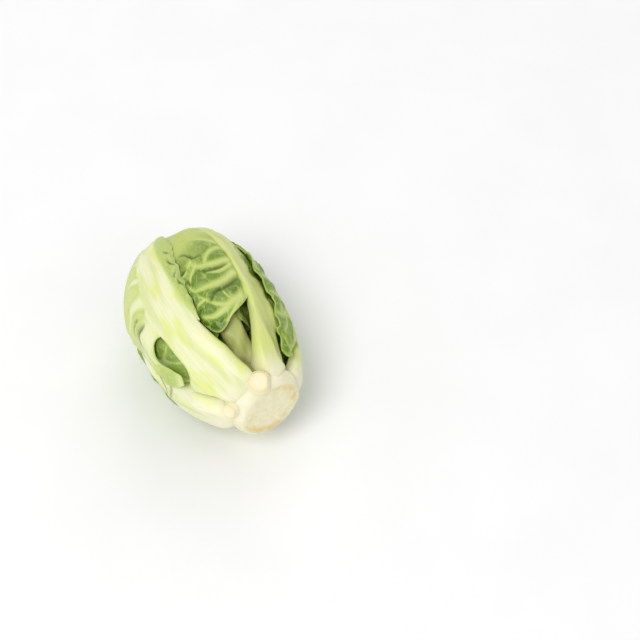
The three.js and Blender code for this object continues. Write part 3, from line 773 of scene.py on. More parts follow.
def vein_field(leaf, place, rib_away):
    """Ridge height and colour mask of the veins, and the distance to the nearest vein or rib."""
    left, right = leaf.get("ruled", (6, 6))
    veins = VEINS.get(leaf["name"], []) + ruled_veins(leaf, "left", left) + ruled_veins(leaf, "right", right)
    ridge, mask, nearest = np.zeros_like(rib_away), np.zeros_like(rib_away), rib_away
    for curve, start_width, end_width in veins:
        away, share = near_curve(place, curve)
        width = mix(start_width, end_width, share)
        ridge = np.maximum(ridge, bell(away, VEIN_HALF * width) * (RIDGE + RIDGE_BY_WIDTH * width))
        mask = np.maximum(mask, bell(away, VEIN_MASK_HALF * width) * mix(1, 0.75, share))
        nearest = np.minimum(nearest, np.maximum(away - VEIN_CORE * width, 0))
    return ridge, mask, nearest


def crease_field(leaf, place):
    """1 in the middle of a crease, fading to both sides and towards its two ends."""
    crease_and_shade = np.zeros(place.shape[:-1])
    for curve, width in CREASES.get(leaf["name"], []):
        away, share = near_curve(place, curve)
        taper = np.sin(np.pi * np.clip(share * 0.9 + 0.05, 0, 1)) ** 0.5
        crease_and_shade = np.maximum(crease_and_shade, bell(away, CREASE_HALF * width) * taper)
    return crease_and_shade


def relief(leaf, s):
    """Height of the outer skin over its layer's floor, and the masks that the materials read."""
    u, v, across, rise, side = (s[key] for key in ("u", "v", "across", "rise", "side"))
    on_strip = side == 0
    centre, half, _ = rib_at(leaf, v)
    thickness = layer_thickness(leaf, u, v)
    off = np.abs(u - centre) / half
    place = to_mm(u, v)
    crinkled = (side > 0) & leaf.get("crinkled_right", False)
    plain_blade = INNER_BLADE if leaf.get("inner") else BLADE
    thinned = mix(plain_blade, CRINKLED_BLADE, smooth(across, 0, CRINKLED_RUN))
    blade_base = np.where(crinkled, thinned, plain_blade)
    room = np.maximum(thickness - blade_base, LEAST_ROOM)
    reach_left, reach_right, pale_end = leaf["pale"]
    reach = off / np.where(u < centre, reach_left, reach_right)
    rib = 1 - smooth(reach, *RIB_FALL)
    midrib = mix(1, MIDRIB_HALF, smooth(v, pale_end, pale_end + MIDRIB_RUN))
    attach_left, attach_right = (leaf[name]["inner"][0][1] for name in ("left", "right"))
    attach = np.where(u < centre, attach_left, attach_right)
    attached = np.where(on_strip, smooth(v - attach, *ATTACH_RUN), 1.0)
    near_margin = np.where(on_strip, 1, np.minimum(1 - across, rise * 3))
    edge = smooth(near_margin, 0, EDGE_RUN)

    rib_away = np.maximum(np.abs(u - centre) - half, 0) * math.radians(HEAD_RADIUS)
    ridge, vein, nearest = vein_field(leaf, place, rib_away)
    crease_and_shade = crease_field(leaf, place)
    warp = place + WARP * np.stack([ripples(place, 3.1, 5), ripples(place, 2.7, 6)], -1)
    shrunk = warp * np.where(crinkled, CRINKLE_SHRINK, 1.0)[..., None]
    border = cells(shrunk, BLISTER_SIZE, leaf["longitude"] * 0.37 + 3)
    fine = cells(warp * 1.07 + 3, FINE_SIZE, leaf["longitude"] * 0.61 + 8)

    on_blade = smooth(off / midrib, *BLADE_RUN)
    beside_midrib = on_blade - smooth(off, *BLADE_RUN)
    puff = (1 - bell(nearest, PUFF_WIDTH)) * leaf["relief"] * PUFF
    blister = smooth(border, 0, BLISTER_SLOPE) * leaf["relief"] * BLISTER
    blister = (blister + smooth(fine, 0, FINE_SLOPE) * FINE_BLISTER) * np.where(crinkled, CRINKLES, 1.0)
    lively = puff + blister * (1 - bell(nearest, CALM_WIDTH)) + ridge * (1 - rib)
    lively = lively * on_blade * edge + SWELL * ripples(place, SWELL_SIZE, 11) * on_blade
    wave = 1 + np.sin(place[..., 1] * 2 * np.pi / EDGE_WAVE_LENGTH + ripples(place, 8, 3))
    wavy = EDGE_WAVE * wave * (1 - edge) * ~on_strip * np.where(crinkled, CRINKLED_EDGE, 1.0)
    furrow = FURROW * ripples(place * [0.9, 0.12], FURROW_SIZE, 23) * (1 - on_blade)
    height = blade_base + room * rib - MIDRIB_STEP * beside_midrib - LOWERED
    height = height + lively * LIVELINESS + wavy + furrow - CREASE_DEPTH * crease_and_shade * on_blade
    height = mix(thickness * petiole_shape(off), height, attached)
    near_top = thickness - TOP_EASE
    eased = thickness - TOP_EASE * np.exp(np.minimum(near_top - height, 0) / TOP_EASE)
    height = np.where(height > near_top, eased, height)
    thin = mix(MARGIN_BLADE, blade_base, smooth(near_margin, 0, MARGIN_RUN))
    skin = np.where(on_strip, np.maximum(blade_base, mix(height, blade_base, attached)), thin)
    height = np.maximum(height, THINNEST)

    rim = np.maximum(1 - smooth(1 - across, 0, RIM_ACROSS), 1 - smooth(rise, 0, RIM_RISE))
    net = np.maximum(NET * bell(border, NET_LINE), FINE_NET * bell(fine, FINE_NET_LINE)) * on_blade
    young = smooth(v + 6 * ripples(place, 12, 19), *leaf.get("young", (130, 170)))
    # Of these masks, the crease one also paints shade into the creases, rim paints a highlight along the
    # margin, and lift paints a highlight on the tops of the puffs and blisters
    masks = dict(
        panel=1 - bell(nearest, PANEL_RUN),
        young=young * np.where(crinkled, CRINKLED_YOUNG, 1.0),
        rib=1 - smooth(reach / midrib, *RIB_MASK_RUN),
        base=1 - smooth(v + 2 * ripples(place, 7, 18), *leaf.get("cream", (30, 52))),
        vein=np.clip(vein * on_blade, 0, 1),
        net=np.clip(net, 0, 1),
        crease_and_shade=np.clip(crease_and_shade, 0, 1),
        rim=np.where(on_strip, 0.0, rim),
        lift=np.clip(lively / LIFT_RUN, 0, 1),
    )
    return height, np.minimum(skin, height), masks, place


# %% [markdown]
# Meshes
#
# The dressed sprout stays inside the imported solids' box. A place that comes near the box is eased into it,
# except downwards, where a leaf runs to the floor and is cut flat there.

# %% Meshes
BOX_LOW, BOX_HIGH = [np.array(corner) / MM - SHIFT for corner in cad_box]
BOX_EASE = 0.3


def within_box(place):
    """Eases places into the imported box: past edge - e they run to the edge as e exp(-overshoot / e)."""
    low, high = BOX_LOW + BOX_EASE, BOX_HIGH - BOX_EASE
    eased_low = BOX_LOW + BOX_EASE * np.exp(np.minimum(place - low, 0) / BOX_EASE)
    eased_high = BOX_HIGH - BOX_EASE * np.exp(np.minimum(high - place, 0) / BOX_EASE)
    return np.where(place < low, eased_low, np.where(place > high, eased_high, place))


def rest_on_floor(place):
    """Eases places into the box, but lets the lower half run down to the floor and flattens it there."""
    eased = within_box(place)
    eased[..., 2] = np.where(place[..., 2] < 0, np.maximum(place[..., 2], -AXIS_HEIGHT), eased[..., 2])
    return eased


def make_piece(name, place, quads, masks, uv, node):
    """Builds a mesh in metres from points in millimetres and quads, with masks as attributes."""
    mesh = bpy.data.meshes.new(name)
    mesh.vertices.add(len(place))
    mesh.vertices.foreach_set("co", ((place + SHIFT) * MM).astype(np.float32).ravel())
    mesh.loops.add(quads.size)
    mesh.loops.foreach_set("vertex_index", quads.astype(np.int32).ravel())
    mesh.polygons.add(len(quads))
    mesh.polygons.foreach_set("loop_start", np.arange(0, quads.size, quads.shape[1], dtype=np.int32))
    mesh.update(calc_edges=True)
    mesh.polygons.foreach_set("use_smooth", np.ones(len(quads), bool))
    for key, value in masks.items():
        layer = mesh.attributes.new(key, "FLOAT", "POINT")
        layer.data.foreach_set("value", value.astype(np.float32))
    layer = mesh.uv_layers.new(name="leaf")
    layer.data.foreach_set("uv", uv[quads.ravel()].astype(np.float32).ravel())
    piece = bpy.data.objects.new(name, mesh)
    bpy.context.scene.collection.objects.link(piece)
    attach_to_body(piece, "root")
    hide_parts(node)
    print("%-24s %6d faces" % (name, len(quads)))
    return piece


def close_sheet(outer, inner, quads):
    """Outer skin, inner skin turned over, and a wall under every edge that only one quad uses."""
    count = len(outer)
    edges = np.vstack([np.stack([quads[:, i], quads[:, (i + 1) % 4]], -1) for i in range(4)])
    forward = edges[:, 0] * count + edges[:, 1]
    backward = edges[:, 1] * count + edges[:, 0]
    rim = edges[~np.isin(forward, backward)]
    wall = np.stack([rim[:, 1], rim[:, 0], rim[:, 0] + count, rim[:, 1] + count], -1)
    return np.vstack([outer, inner]), np.vstack([quads, quads[:, ::-1] + count, wall])


def leaf_piece(order):
    leaf = LEAVES[order]
    s, quads = sheet(leaf)
    d = direction(leaf, s["u"], s["v"])
    height, skin, masks, uv = relief(leaf, s)
    sink = 0 if leaf.get("inner") else BASE_SINK * (1 - smooth(s["v"], *BASE_RUN)) ** 1.5
    floor_depth = layer_depth(order, d) + layer_thickness(leaf, s["u"], s["v"]) + sink + INSET
    outer = rest_on_floor(head_point(d, floor_depth - height))
    inner = rest_on_floor(head_point(d, floor_depth - height + skin))
    inner[..., 2] = np.maximum(inner[..., 2], -AXIS_HEIGHT + 0.1)
    place, quads = close_sheet(outer, inner, quads)
    masks = {key: np.concatenate([value, value]) for key, value in masks.items()}
    return make_piece(leaf["name"] + "_skin", place, quads, masks, np.vstack([uv, uv]), leaf["name"])


leaf_pieces = [leaf_piece(order) for order in range(len(LEAVES))]

# %% [markdown]
# The heart
#
# The heart is one closed shell of leaves too tight to part. Its surface is the egg under all the leaves, with
# the leaf edges as low spiral steps.

# %% Heart
HEART_START, HEART_RINGS, HEART_SIDES = 40, 130, 150
HEART_STEP = 0.55
SPIRAL_TURN, SPIRAL_RISE = 120, 70  # one step comes in this many degrees round, or along


def heart_piece():
    """Polar grid: theta from the stalk to the crown, longitude round; depth steps along a spiral."""
    ring_theta = np.linspace(HEART_START, 180, HEART_RINGS)
    theta, turn = np.meshgrid(ring_theta, np.arange(HEART_SIDES) * 360 / HEART_SIDES, indexing="ij")
    a, t = np.radians(turn), np.radians(theta)
    d = np.stack([np.cos(t), np.sin(t) * np.sin(a), np.sin(t) * np.cos(a)], -1)
    spiral = (turn / SPIRAL_TURN + theta / SPIRAL_RISE) % 1
    step = HEART_STEP * np.sin(t) * spiral * smooth(1 - spiral, 0, 0.06)
    depth = layer_depth(len(LEAVES), d) + HEART_CLEARANCE + step
    grid = head_point(d, depth)
    grid[-1] = grid[-1].mean(0)
    rows, around = theta.shape
    index = np.arange(rows * around).reshape(rows, around)
    nxt = np.roll(index, -1, axis=1)
    quads = np.stack([index[:-1], nxt[:-1], nxt[1:], index[1:]], -1).reshape(-1, 4)
    pole = rows * around
    cap = np.stack([np.full(around, pole), nxt[0], index[0], index[0]], -1)
    middle = grid[0].mean(0)
    place = np.vstack([grid.reshape(-1, 3), middle])
    triangles = np.vstack([quads[:, [0, 1, 2]], quads[:, [0, 2, 3]], cap[:, :3]])
    uv = np.vstack([np.stack([turn, theta], -1).reshape(-1, 2) * 0.1, [[0, 0]]])
    zero = np.zeros(len(place))
    masks = {key: zero for key in LEAF_MASKS}
    return make_piece("heart_skin", place, triangles, masks, uv, "heart")


heart = heart_piece()

# %% [markdown]
# The stalk
#
# The stalk is a skin round a middle line: a tapered core inside the head, a swollen ring that the leaf bases
# spring from, and the knife's cut. The cut face is a polar grid in the same mesh. Two round scars show where
# older leaves broke off.

# %% Stalk
SCARS = [
    dict(longitude=-12, x=23.4, out=8.75, radius=2.0, proud=0.45),
    dict(longitude=-73, x=23.4, out=8.8, radius=1.5, proud=0.4),
]
STALK_SIDES = 160
SKIN_START = 17  # from here out the stalk's skin has closer rings
LEAN_START = 20  # from here out the rings lean with the cut
LUMP_RUN, LUMP_CALM = (18, 24), (24.9, CUT_X)  # lumps begin over the first, and halve over the second
CORE_SHADE_RUN = (20.2, 22.4)  # the olive painted on the core as shade, deep in the head, turns to the cream of the skin
RIM_RINGS = [0.985, 0.96]  # the cut's rim is rounded by two close rings
FACE_RUN = (0.93, 0.03)
CORE_RINGS, SKIN_RINGS, FACE_RINGS = 24, 40, 36
LUMP, LUMP_SIZE, PIMPLE, PIMPLE_SIZE = 0.16, 6, 0.05, 1.4
FACE_BULGE, FACE_LUMP, KNIFE_MARK, KNIFE_STEP = 0.2, 0.05, 0.025, 1.1
KNIFE_DIRECTION = np.array([0.8, 0.6])
SCAR_RINGS, SCAR_SIDES = 40, 56
SCAR_PROFILE = [  # share of the radius, and height on a scar that is half a millimetre proud
    (0.7, -3.0), (1.25, -1.3), (1.12, -0.5), (1.03, 0.0), (0.98, 0.3), (0.9, 0.46),
    (0.78, 0.5), (0.6, 0.44), (0.42, 0.42), (0.22, 0.47), (0.08, 0.5),
]
SCAR_LEAN = 0.42  # a scar looks this much towards the cut end


def cut_offset(y, z):
    """How far the oblique cut plane stands forward at a place beside its middle."""
    return -(y * math.tan(math.radians(CUT_TURN)) + z * math.tan(math.radians(CUT_LIFT)))


def stalk_piece():
    """Rings round the middle line up to the rounded rim, then shrinking rings over the cut face."""
    a = np.linspace(0, 2 * np.pi, STALK_SIDES, endpoint=False)
    core_x = np.linspace(CORE_TIP_X, SKIN_START, CORE_RINGS)
    ring_x = np.concatenate([core_x, np.linspace(SKIN_START, CUT_X, SKIN_RINGS)[1:]])
    radius = through(STALK_ROWS, ring_x)[:, 0]
    x, angle = np.meshgrid(ring_x, a, indexing="ij")
    r = np.repeat(radius[:, None], len(a), 1)
    flat = np.stack([angle * 7, x], -1)
    uneven = LUMP * ripples(flat, LUMP_SIZE, 21) + PIMPLE * ripples(flat, PIMPLE_SIZE, 22)
    r = r + smooth(x, *LUMP_RUN) * uneven * (1 - smooth(x, *LUMP_CALM) * 0.5)
    middle = stalk_middle(x)
    y, z = r * np.sin(angle), r * np.cos(angle)
    lean = smooth(x, LEAN_START, CUT_X)
    side = np.stack([x + lean * cut_offset(y, z), middle[..., 1] + y, middle[..., 2] + z], -1)
    shrink = np.concatenate([RIM_RINGS, np.linspace(*FACE_RUN, FACE_RINGS)])
    s, _ = np.meshgrid(shrink, a, indexing="ij")
    y2, z2 = s * y[-1], s * z[-1]
    face_place = np.stack([y2, z2], -1)
    bulge = FACE_BULGE * (1 - s**6) + FACE_LUMP * ripples(face_place, 3.2, 31) * smooth(1 - s, 0, 0.1)
    marks = np.sin(face_place @ KNIFE_DIRECTION * 2 * np.pi / KNIFE_STEP)
    bulge += KNIFE_MARK * marks * smooth(1 - s, 0, 0.15)
    centre = stalk_middle(np.array(CUT_X))
    face = np.stack([CUT_X + cut_offset(y2, z2) + bulge, centre[1] + y2, centre[2] + z2], -1)
    place = np.vstack([side.reshape(-1, 3), face.reshape(-1, 3)])
    rows = len(ring_x) + len(shrink)
    index = np.arange(rows * STALK_SIDES).reshape(rows, STALK_SIDES)
    nxt = np.roll(index, -1, axis=1)
    quads = np.stack([index[:-1], index[1:], nxt[1:], nxt[:-1]], -1).reshape(-1, 4)
    triangles = np.vstack([quads[:, [0, 1, 2]], quads[:, [0, 2, 3]]])
    ends = np.vstack([side[0].mean(0), face[-1].mean(0)])
    first, last = len(place), len(place) + 1
    caps = [
        np.stack([np.full(STALK_SIDES, first), index[0], nxt[0]], -1),
        np.stack([np.full(STALK_SIDES, last), nxt[-1], index[-1]], -1),
    ]
    place = within_box(np.vstack([place, ends]))
    cut = np.concatenate([np.zeros(side[..., 0].size), np.ones(face[..., 0].size), [0, 1]])
    ring = np.concatenate([np.ones(side[..., 0].size), s.ravel(), [1, 0]])
    zero = np.zeros(len(place))
    # reach is 0 on the core deep in the head, where olive is painted as shade, and 1 on the outer skin
    reach = np.concatenate([smooth(x.ravel(), *CORE_SHADE_RUN), np.ones(face[..., 0].size), [0, 1]])
    masks = dict(cut=cut, ring=ring, scar=zero, reach=reach)
    uv = np.vstack([flat.reshape(-1, 2), face_place.reshape(-1, 2), [[0, 0], [0, 0]]])
    triangles = np.vstack([triangles] + caps)
    for scar in SCARS:
        place, triangles, masks, uv = add_scar(scar, place, triangles, masks, uv)
    return make_piece("stalk_skin", place, triangles, masks, uv, "stalk")


def add_scar(scar, place, triangles, masks, uv):
    """A disc by profile: a rounded rim, a shallow dip and a tiny raised middle, on a short root."""
    curve = along(SCAR_PROFILE, np.linspace(0, 1, SCAR_RINGS))
    a = np.linspace(0, 2 * np.pi, SCAR_SIDES, endpoint=False)
    up, _ = leaf_frame(scar["longitude"])
    out = up + np.array([SCAR_LEAN, 0, 0])
    out /= np.linalg.norm(out)
    across = np.cross(out, [0, 0.2, 1.0])
    across /= np.linalg.norm(across)
    other = np.cross(out, across)
    foot = stalk_middle(np.array(scar["x"])) + up * scar["out"]
    uneven = 1 + 0.05 * np.sin(3 * a + scar["longitude"]) + 0.03 * np.sin(5 * a)
    r = curve[:, :1] * scar["radius"] * uneven
    h = curve[:, 1:] * scar["proud"] / SCAR_PROFILE[-1][1]
    round_it = np.cos(a)[:, None] * across + np.sin(a)[:, None] * other
    disc = foot + r[..., None] * round_it + h[..., None] * out
    start, count = len(place), SCAR_RINGS * SCAR_SIDES
    index = start + np.arange(count).reshape(SCAR_RINGS, SCAR_SIDES)
    nxt = np.roll(index, -1, axis=1)
    quads = np.stack([index[:-1], nxt[:-1], nxt[1:], index[1:]], -1).reshape(-1, 4)
    top, bottom = start + count, start + count + 1
    caps = [
        np.stack([np.full(SCAR_SIDES, top), index[-1], nxt[-1]], -1),
        np.stack([np.full(SCAR_SIDES, bottom), nxt[0], index[0]], -1),
    ]
    place = np.vstack([place, disc.reshape(-1, 3), disc[-1].mean(0), disc[0].mean(0)])
    triangles = np.vstack([triangles, quads[:, [0, 1, 2]], quads[:, [0, 2, 3]]] + caps)
    extra = count + 2
    added = dict(
        cut=np.zeros(extra),
        ring=np.concatenate([np.repeat(np.clip(curve[:, 0], 0, 1), SCAR_SIDES), [0, 1]]),
        scar=np.concatenate([np.repeat(smooth(curve[:, 1], -0.4, 0.2), SCAR_SIDES), [1, 0]]),
        reach=np.ones(extra),
    )
    masks = {key: np.concatenate([value, added[key]]) for key, value in masks.items()}
    uv = np.vstack([uv, np.zeros((extra, 2))])
    return place, triangles, masks, uv


stalk = stalk_piece()

# %% [markdown]
# Finishes
#
# A sprout's leaf is waxy, and light wanders a little way under its skin. Its colours are the pale rib and
# veins, the yellow-green beside them, a light and a deep green for the blade, and a warm glow. The
# yellow-green is also painted as a highlight on blister tops and along the margins, and a dark green is
# painted into creases as shade.
# The masks made with the relief steer the mix, and procedural noise keeps every colour uneven.

# %% Node helpers
BUMP_DEPTH = 0.2 * MM
LIGHT_DEPTH = 1.2 * MM  # how far light wanders under a skin
MIX_FACTOR, MIX_FIRST, MIX_SECOND, MIX_RESULT = 0, 6, 7, 2  # a Mix node's sockets when it mixes colours


def new_group(name, inputs, outputs):
    group = bpy.data.node_groups.new(name, "ShaderNodeTree")
    for label, kind, value in inputs:
        socket = group.interface.new_socket(label, in_out="INPUT", socket_type=kind)
        socket.default_value = value
    for label, kind in outputs:
        group.interface.new_socket(label, in_out="OUTPUT", socket_type=kind)
    return group, group.nodes.new("NodeGroupInput"), group.nodes.new("NodeGroupOutput")


def link(tree, source, target):
    tree.links.new(source, target)


def math_node(tree, operation, first, second=None):
    node = tree.nodes.new("ShaderNodeMath")
    node.operation = operation
    node.use_clamp = operation in ("ADD", "SUBTRACT", "MULTIPLY")
    for socket, value in zip(node.inputs, (first, second)):
        if isinstance(value, (int, float)):
            socket.default_value = value
        elif value is not None:
            link(tree, value, socket)
    return node.outputs[0]


def mix_colour(tree, factor, first, second):
    node = tree.nodes.new("ShaderNodeMix")
    node.data_type = "RGBA"
    for number, value in ((MIX_FACTOR, factor), (MIX_FIRST, first), (MIX_SECOND, second)):
        if isinstance(value, (int, float, tuple)):
            node.inputs[number].default_value = value
        else:
            link(tree, value, node.inputs[number])
    return node.outputs[MIX_RESULT]


def noise(tree, vector, scale, detail=3.0, rough=0.55):
    node = tree.nodes.new("ShaderNodeTexNoise")
    node.inputs["Scale"].default_value = scale
    node.inputs["Detail"].default_value = detail
    node.inputs["Roughness"].default_value = rough
    link(tree, vector, node.inputs["Vector"])
    return node.outputs["Fac"]


def bump_from(tree, height, strength, shader):
    node = tree.nodes.new("ShaderNodeBump")
    node.inputs["Strength"].default_value = strength
    node.inputs["Distance"].default_value = BUMP_DEPTH
    link(tree, height, node.inputs["Height"])
    link(tree, node.outputs["Normal"], shader.inputs["Normal"])


def attribute(tree, name):
    node = tree.nodes.new("ShaderNodeAttribute")
    node.attribute_name = name
    return node.outputs["Fac"]


def scaled(tree, vector, scale):
    node = tree.nodes.new("ShaderNodeMapping")
    node.inputs["Scale"].default_value = scale
    link(tree, vector, node.inputs["Vector"])
    return node.outputs["Vector"]


def range_of(tree, value, low, high, to_low=0.0, to_high=1.0):
    node = tree.nodes.new("ShaderNodeMapRange")
    node.interpolation_type = "SMOOTHSTEP"
    for label, number in (("From Min", low), ("From Max", high), ("To Min", to_low), ("To Max", to_high)):
        node.inputs[label].default_value = number
    link(tree, value, node.inputs["Value"])
    return node.outputs["Result"]


def linear(hex_colour):
    """An sRGB hex colour as the linear values that shaders use."""
    values = [int(hex_colour[i : i + 2], 16) / 255 for i in (0, 2, 4)]
    return tuple(v / 12.92 if v <= 0.04045 else ((v + 0.055) / 1.055) ** 2.4 for v in values) + (1.0,)


# %% [markdown]
# Two effects are shared, so each is a node group. Fibres are the fine lengthwise streaks of a leaf's rib.
# Mottle is the slow change of tone over a leaf or the stalk, with a fine grain in it.

# %% Shared effects
def fibre_group():
    group, ins, outs = new_group(
        "Fibres",
        [("Vector", "NodeSocketVector", (0, 0, 0)), ("Fineness", "NodeSocketFloat", 1.0)],
        [("Streak", "NodeSocketFloat")],
    )
    wide = noise(group, scaled(group, ins.outputs["Vector"], (1.9, 0.07, 1)), 1.0, 2)
    thin = noise(group, scaled(group, ins.outputs["Vector"], (6.5, 0.16, 1)), 1.0, 2)
    wide_part = math_node(group, "MULTIPLY", wide, 0.62)
    both = math_node(group, "ADD", wide_part, math_node(group, "MULTIPLY", thin, 0.38))
    sharp = math_node(group, "POWER", both, ins.outputs["Fineness"])
    link(group, sharp, outs.inputs["Streak"])
    return group


def mottle_group():
    group, ins, outs = new_group(
        "Mottle",
        [("Vector", "NodeSocketVector", (0, 0, 0)), ("Grain", "NodeSocketFloat", 0.35)],
        [("Tone", "NodeSocketFloat")],
    )
    slow = noise(group, ins.outputs["Vector"], 0.22, 3)
    quick = noise(group, ins.outputs["Vector"], 2.6, 4, 0.65)
    grain = math_node(group, "MULTIPLY", quick, ins.outputs["Grain"])
    rest = math_node(group, "MULTIPLY", slow, 0.8)
    link(group, math_node(group, "ADD", rest, grain), outs.inputs["Tone"])
    return group


FIBRES, MOTTLE = fibre_group(), mottle_group()


def place_group(tree, group, vector, **values):
    node = tree.nodes.new("ShaderNodeGroup")
    node.node_tree = group
    link(tree, vector, node.inputs["Vector"])
    for label, value in values.items():
        node.inputs[label].default_value = value
    return node.outputs[0]


def new_material(name, roughness, subsurface, radius, coat=0.0):
    material = bpy.data.materials.new(name)
    material.use_nodes = True
    tree = material.node_tree
    shader = tree.nodes["Principled BSDF"]
    shader.inputs["Roughness"].default_value = roughness
    shader.inputs["Subsurface Weight"].default_value = subsurface
    shader.inputs["Subsurface Radius"].default_value = radius
    shader.inputs["Subsurface Scale"].default_value = LIGHT_DEPTH
    shader.inputs["Coat Weight"].default_value = coat
    shader.inputs["Coat Roughness"].default_value = 0.35
    shader.inputs["IOR"].default_value = 1.42
    return material, tree, shader


# %% [markdown]
# Leaf finish
#
# All leaves share this recipe. Outer leaves are greener and more strongly veined. Inner ones are yellower, as
# less light reached them as they grew, and they are also painted darker, in olive tones, as shade, since they
# show only deep in the gaps between the outer leaves.

# %% Leaf material
def leaf_material(name, rib, halo_and_highlight, green, deep, fold_shade, glow, rib_green=0.5, vein_light=0.55):
    material, tree, shader = new_material(name, 0.42, 0.16, (0.7, 1.0, 0.25), 0.12)
    uv = tree.nodes.new("ShaderNodeUVMap")
    uv.uv_map = "leaf"
    vector = uv.outputs["UV"]
    tone = place_group(tree, MOTTLE, vector, Grain=0.3)
    streak = place_group(tree, FIBRES, vector, Fineness=1.2)
    ribs, veins, net = attribute(tree, "rib"), attribute(tree, "vein"), attribute(tree, "net")
    # The blade: deep green in its panels, lighter beside the veins and where it is young, and a painted
    # highlight on the tops of the blisters
    uneven = range_of(tree, tone, 0.2, 0.6, 0.6, 1.0)
    depth = math_node(tree, "MULTIPLY", uneven, attribute(tree, "panel"))
    blade = mix_colour(tree, depth, green, deep)
    lit = mix_colour(tree, range_of(tree, attribute(tree, "lift"), 0.5, 1.2, 0.0, 0.25), blade, halo_and_highlight)
    grown = mix_colour(tree, math_node(tree, "MULTIPLY", attribute(tree, "young"), 0.5), lit, halo_and_highlight)
    fresh = mix_colour(tree, math_node(tree, "MULTIPLY", attribute(tree, "young"), 0.6), grown, glow)
    netted = mix_colour(tree, range_of(tree, net, 0.05, 1.0, 0.0, 0.8), fresh, halo_and_highlight)
    # The rib: pale, with sunny and greenish patches and streaks along it, and cream at its base
    blotch = noise(tree, scaled(tree, vector, (0.32, 0.07, 1)), 1.0, 2)
    warm = noise(tree, scaled(tree, vector, (0.22, 0.1, 3)), 1.3, 2)
    sunny = mix_colour(tree, range_of(tree, warm, 0.45, 0.62), rib, glow)
    tinted = mix_colour(tree, range_of(tree, blotch, 0.44, 0.62, 0.0, rib_green), sunny, halo_and_highlight)
    pale = mix_colour(tree, range_of(tree, streak, 0.3, 0.7, 0.0, 0.3), tinted, halo_and_highlight)
    at_base = math_node(tree, "MULTIPLY", attribute(tree, "base"), 0.8)
    white = mix_colour(tree, at_base, pale, linear("F6F0D6"))
    # Together: a halo beside ribs and veins, then the veins, the rib, a painted highlight along the rim, and
    # painted shade in the creases
    beside = math_node(tree, "MAXIMUM", ribs, veins)
    haloed = mix_colour(tree, range_of(tree, beside, 0.02, 0.5, 0.0, 0.85), netted, halo_and_highlight)
    veined = mix_colour(tree, range_of(tree, veins, 0.4, 0.95, 0.0, vein_light), haloed, rib)
    ribbed = mix_colour(tree, range_of(tree, ribs, 0.35, 0.85), veined, white)
    rimmed = mix_colour(tree, math_node(tree, "MULTIPLY", attribute(tree, "rim"), 0.75), ribbed, halo_and_highlight)
    crease_shaded = mix_colour(tree, math_node(tree, "MULTIPLY", attribute(tree, "crease_and_shade"), 0.85), rimmed, fold_shade)
    link(tree, crease_shaded, shader.inputs["Base Color"])
    link(tree, range_of(tree, tone, 0.3, 0.8, 0.36, 0.52), shader.inputs["Roughness"])
    # A fine grain and the streaks of the fibres, as a bump
    grain = noise(tree, vector, 5.5, 4, 0.7)
    fine_part = math_node(tree, "MULTIPLY", grain, 0.35)
    height = math_node(tree, "ADD", fine_part, math_node(tree, "MULTIPLY", streak, 0.5))
    bump_from(tree, height, 0.35, shader)
    return material


outer_green = dict(
    halo_and_highlight=linear("BCCD6C"), green=linear("8AA73A"), deep=linear("496D08"), fold_shade=linear("30460C"),
    glow=linear("D6DF80"),
)
LEAF_FINISH = {
    "wrapper_leaf_1": leaf_material(
        "Pale wrapper leaf", rib=linear("EFF0C6"), halo_and_highlight=linear("C8D880"), glow=linear("E6EC96"),
        green=linear("AAC45C"), deep=linear("87A840"), fold_shade=linear("405A18"), vein_light=0.8,
    ),
    "wrapper_leaf_2": leaf_material(
        "Side wrapper leaf", rib=linear("DCE3A4"), halo_and_highlight=linear("B6C962"), glow=linear("D6DF80"),
        green=linear("99B244"), deep=linear("6A8E28"), fold_shade=linear("30460C"), vein_light=0.25,
    ),
    "wrapper_leaf_3": leaf_material(
        "Low wrapper leaf", rib=linear("F1F1D0"), halo_and_highlight=linear("BACC70"), glow=linear("E9EEA8"),
        green=linear("98B24E"), deep=linear("7A963A"), fold_shade=linear("3C5418"), vein_light=0.2,
    ),
    "wrapper_leaf_4": leaf_material("Blistered wrapper leaf", rib=linear("D8DE8E"), **outer_green),
    "wrapper_leaf_5": leaf_material("Belly wrapper leaf", rib=linear("EEEFC6"), **outer_green),
}
# The inner leaves' olive colours are partly painted shade, for their deep place between the outer leaves
shaded_inner_finish = leaf_material(
    "Shaded inner leaf", rib=linear("B8BA6E"), halo_and_highlight=linear("9DB152"), glow=linear("C6C67A"),
    green=linear("869F46"), deep=linear("6F8A36"), fold_shade=linear("3A4E18"),
    vein_light=0.45,
)
for leaf, piece in zip(LEAVES, leaf_pieces):
    piece.data.materials.append(LEAF_FINISH.get(leaf["name"], shaded_inner_finish))
heart.data.materials.append(shaded_inner_finish)


# %% [markdown]
# Stalk finish
#
# The skin of the stalk is a matte cream; deep in the head, where the core shows only between the leaf bases,
# it is painted olive as shade. The cut face dries from the outside in, so an ochre ring runs just inside its
# pale rim, and the pith in the middle stays light. The scars are a slightly warmer cream.

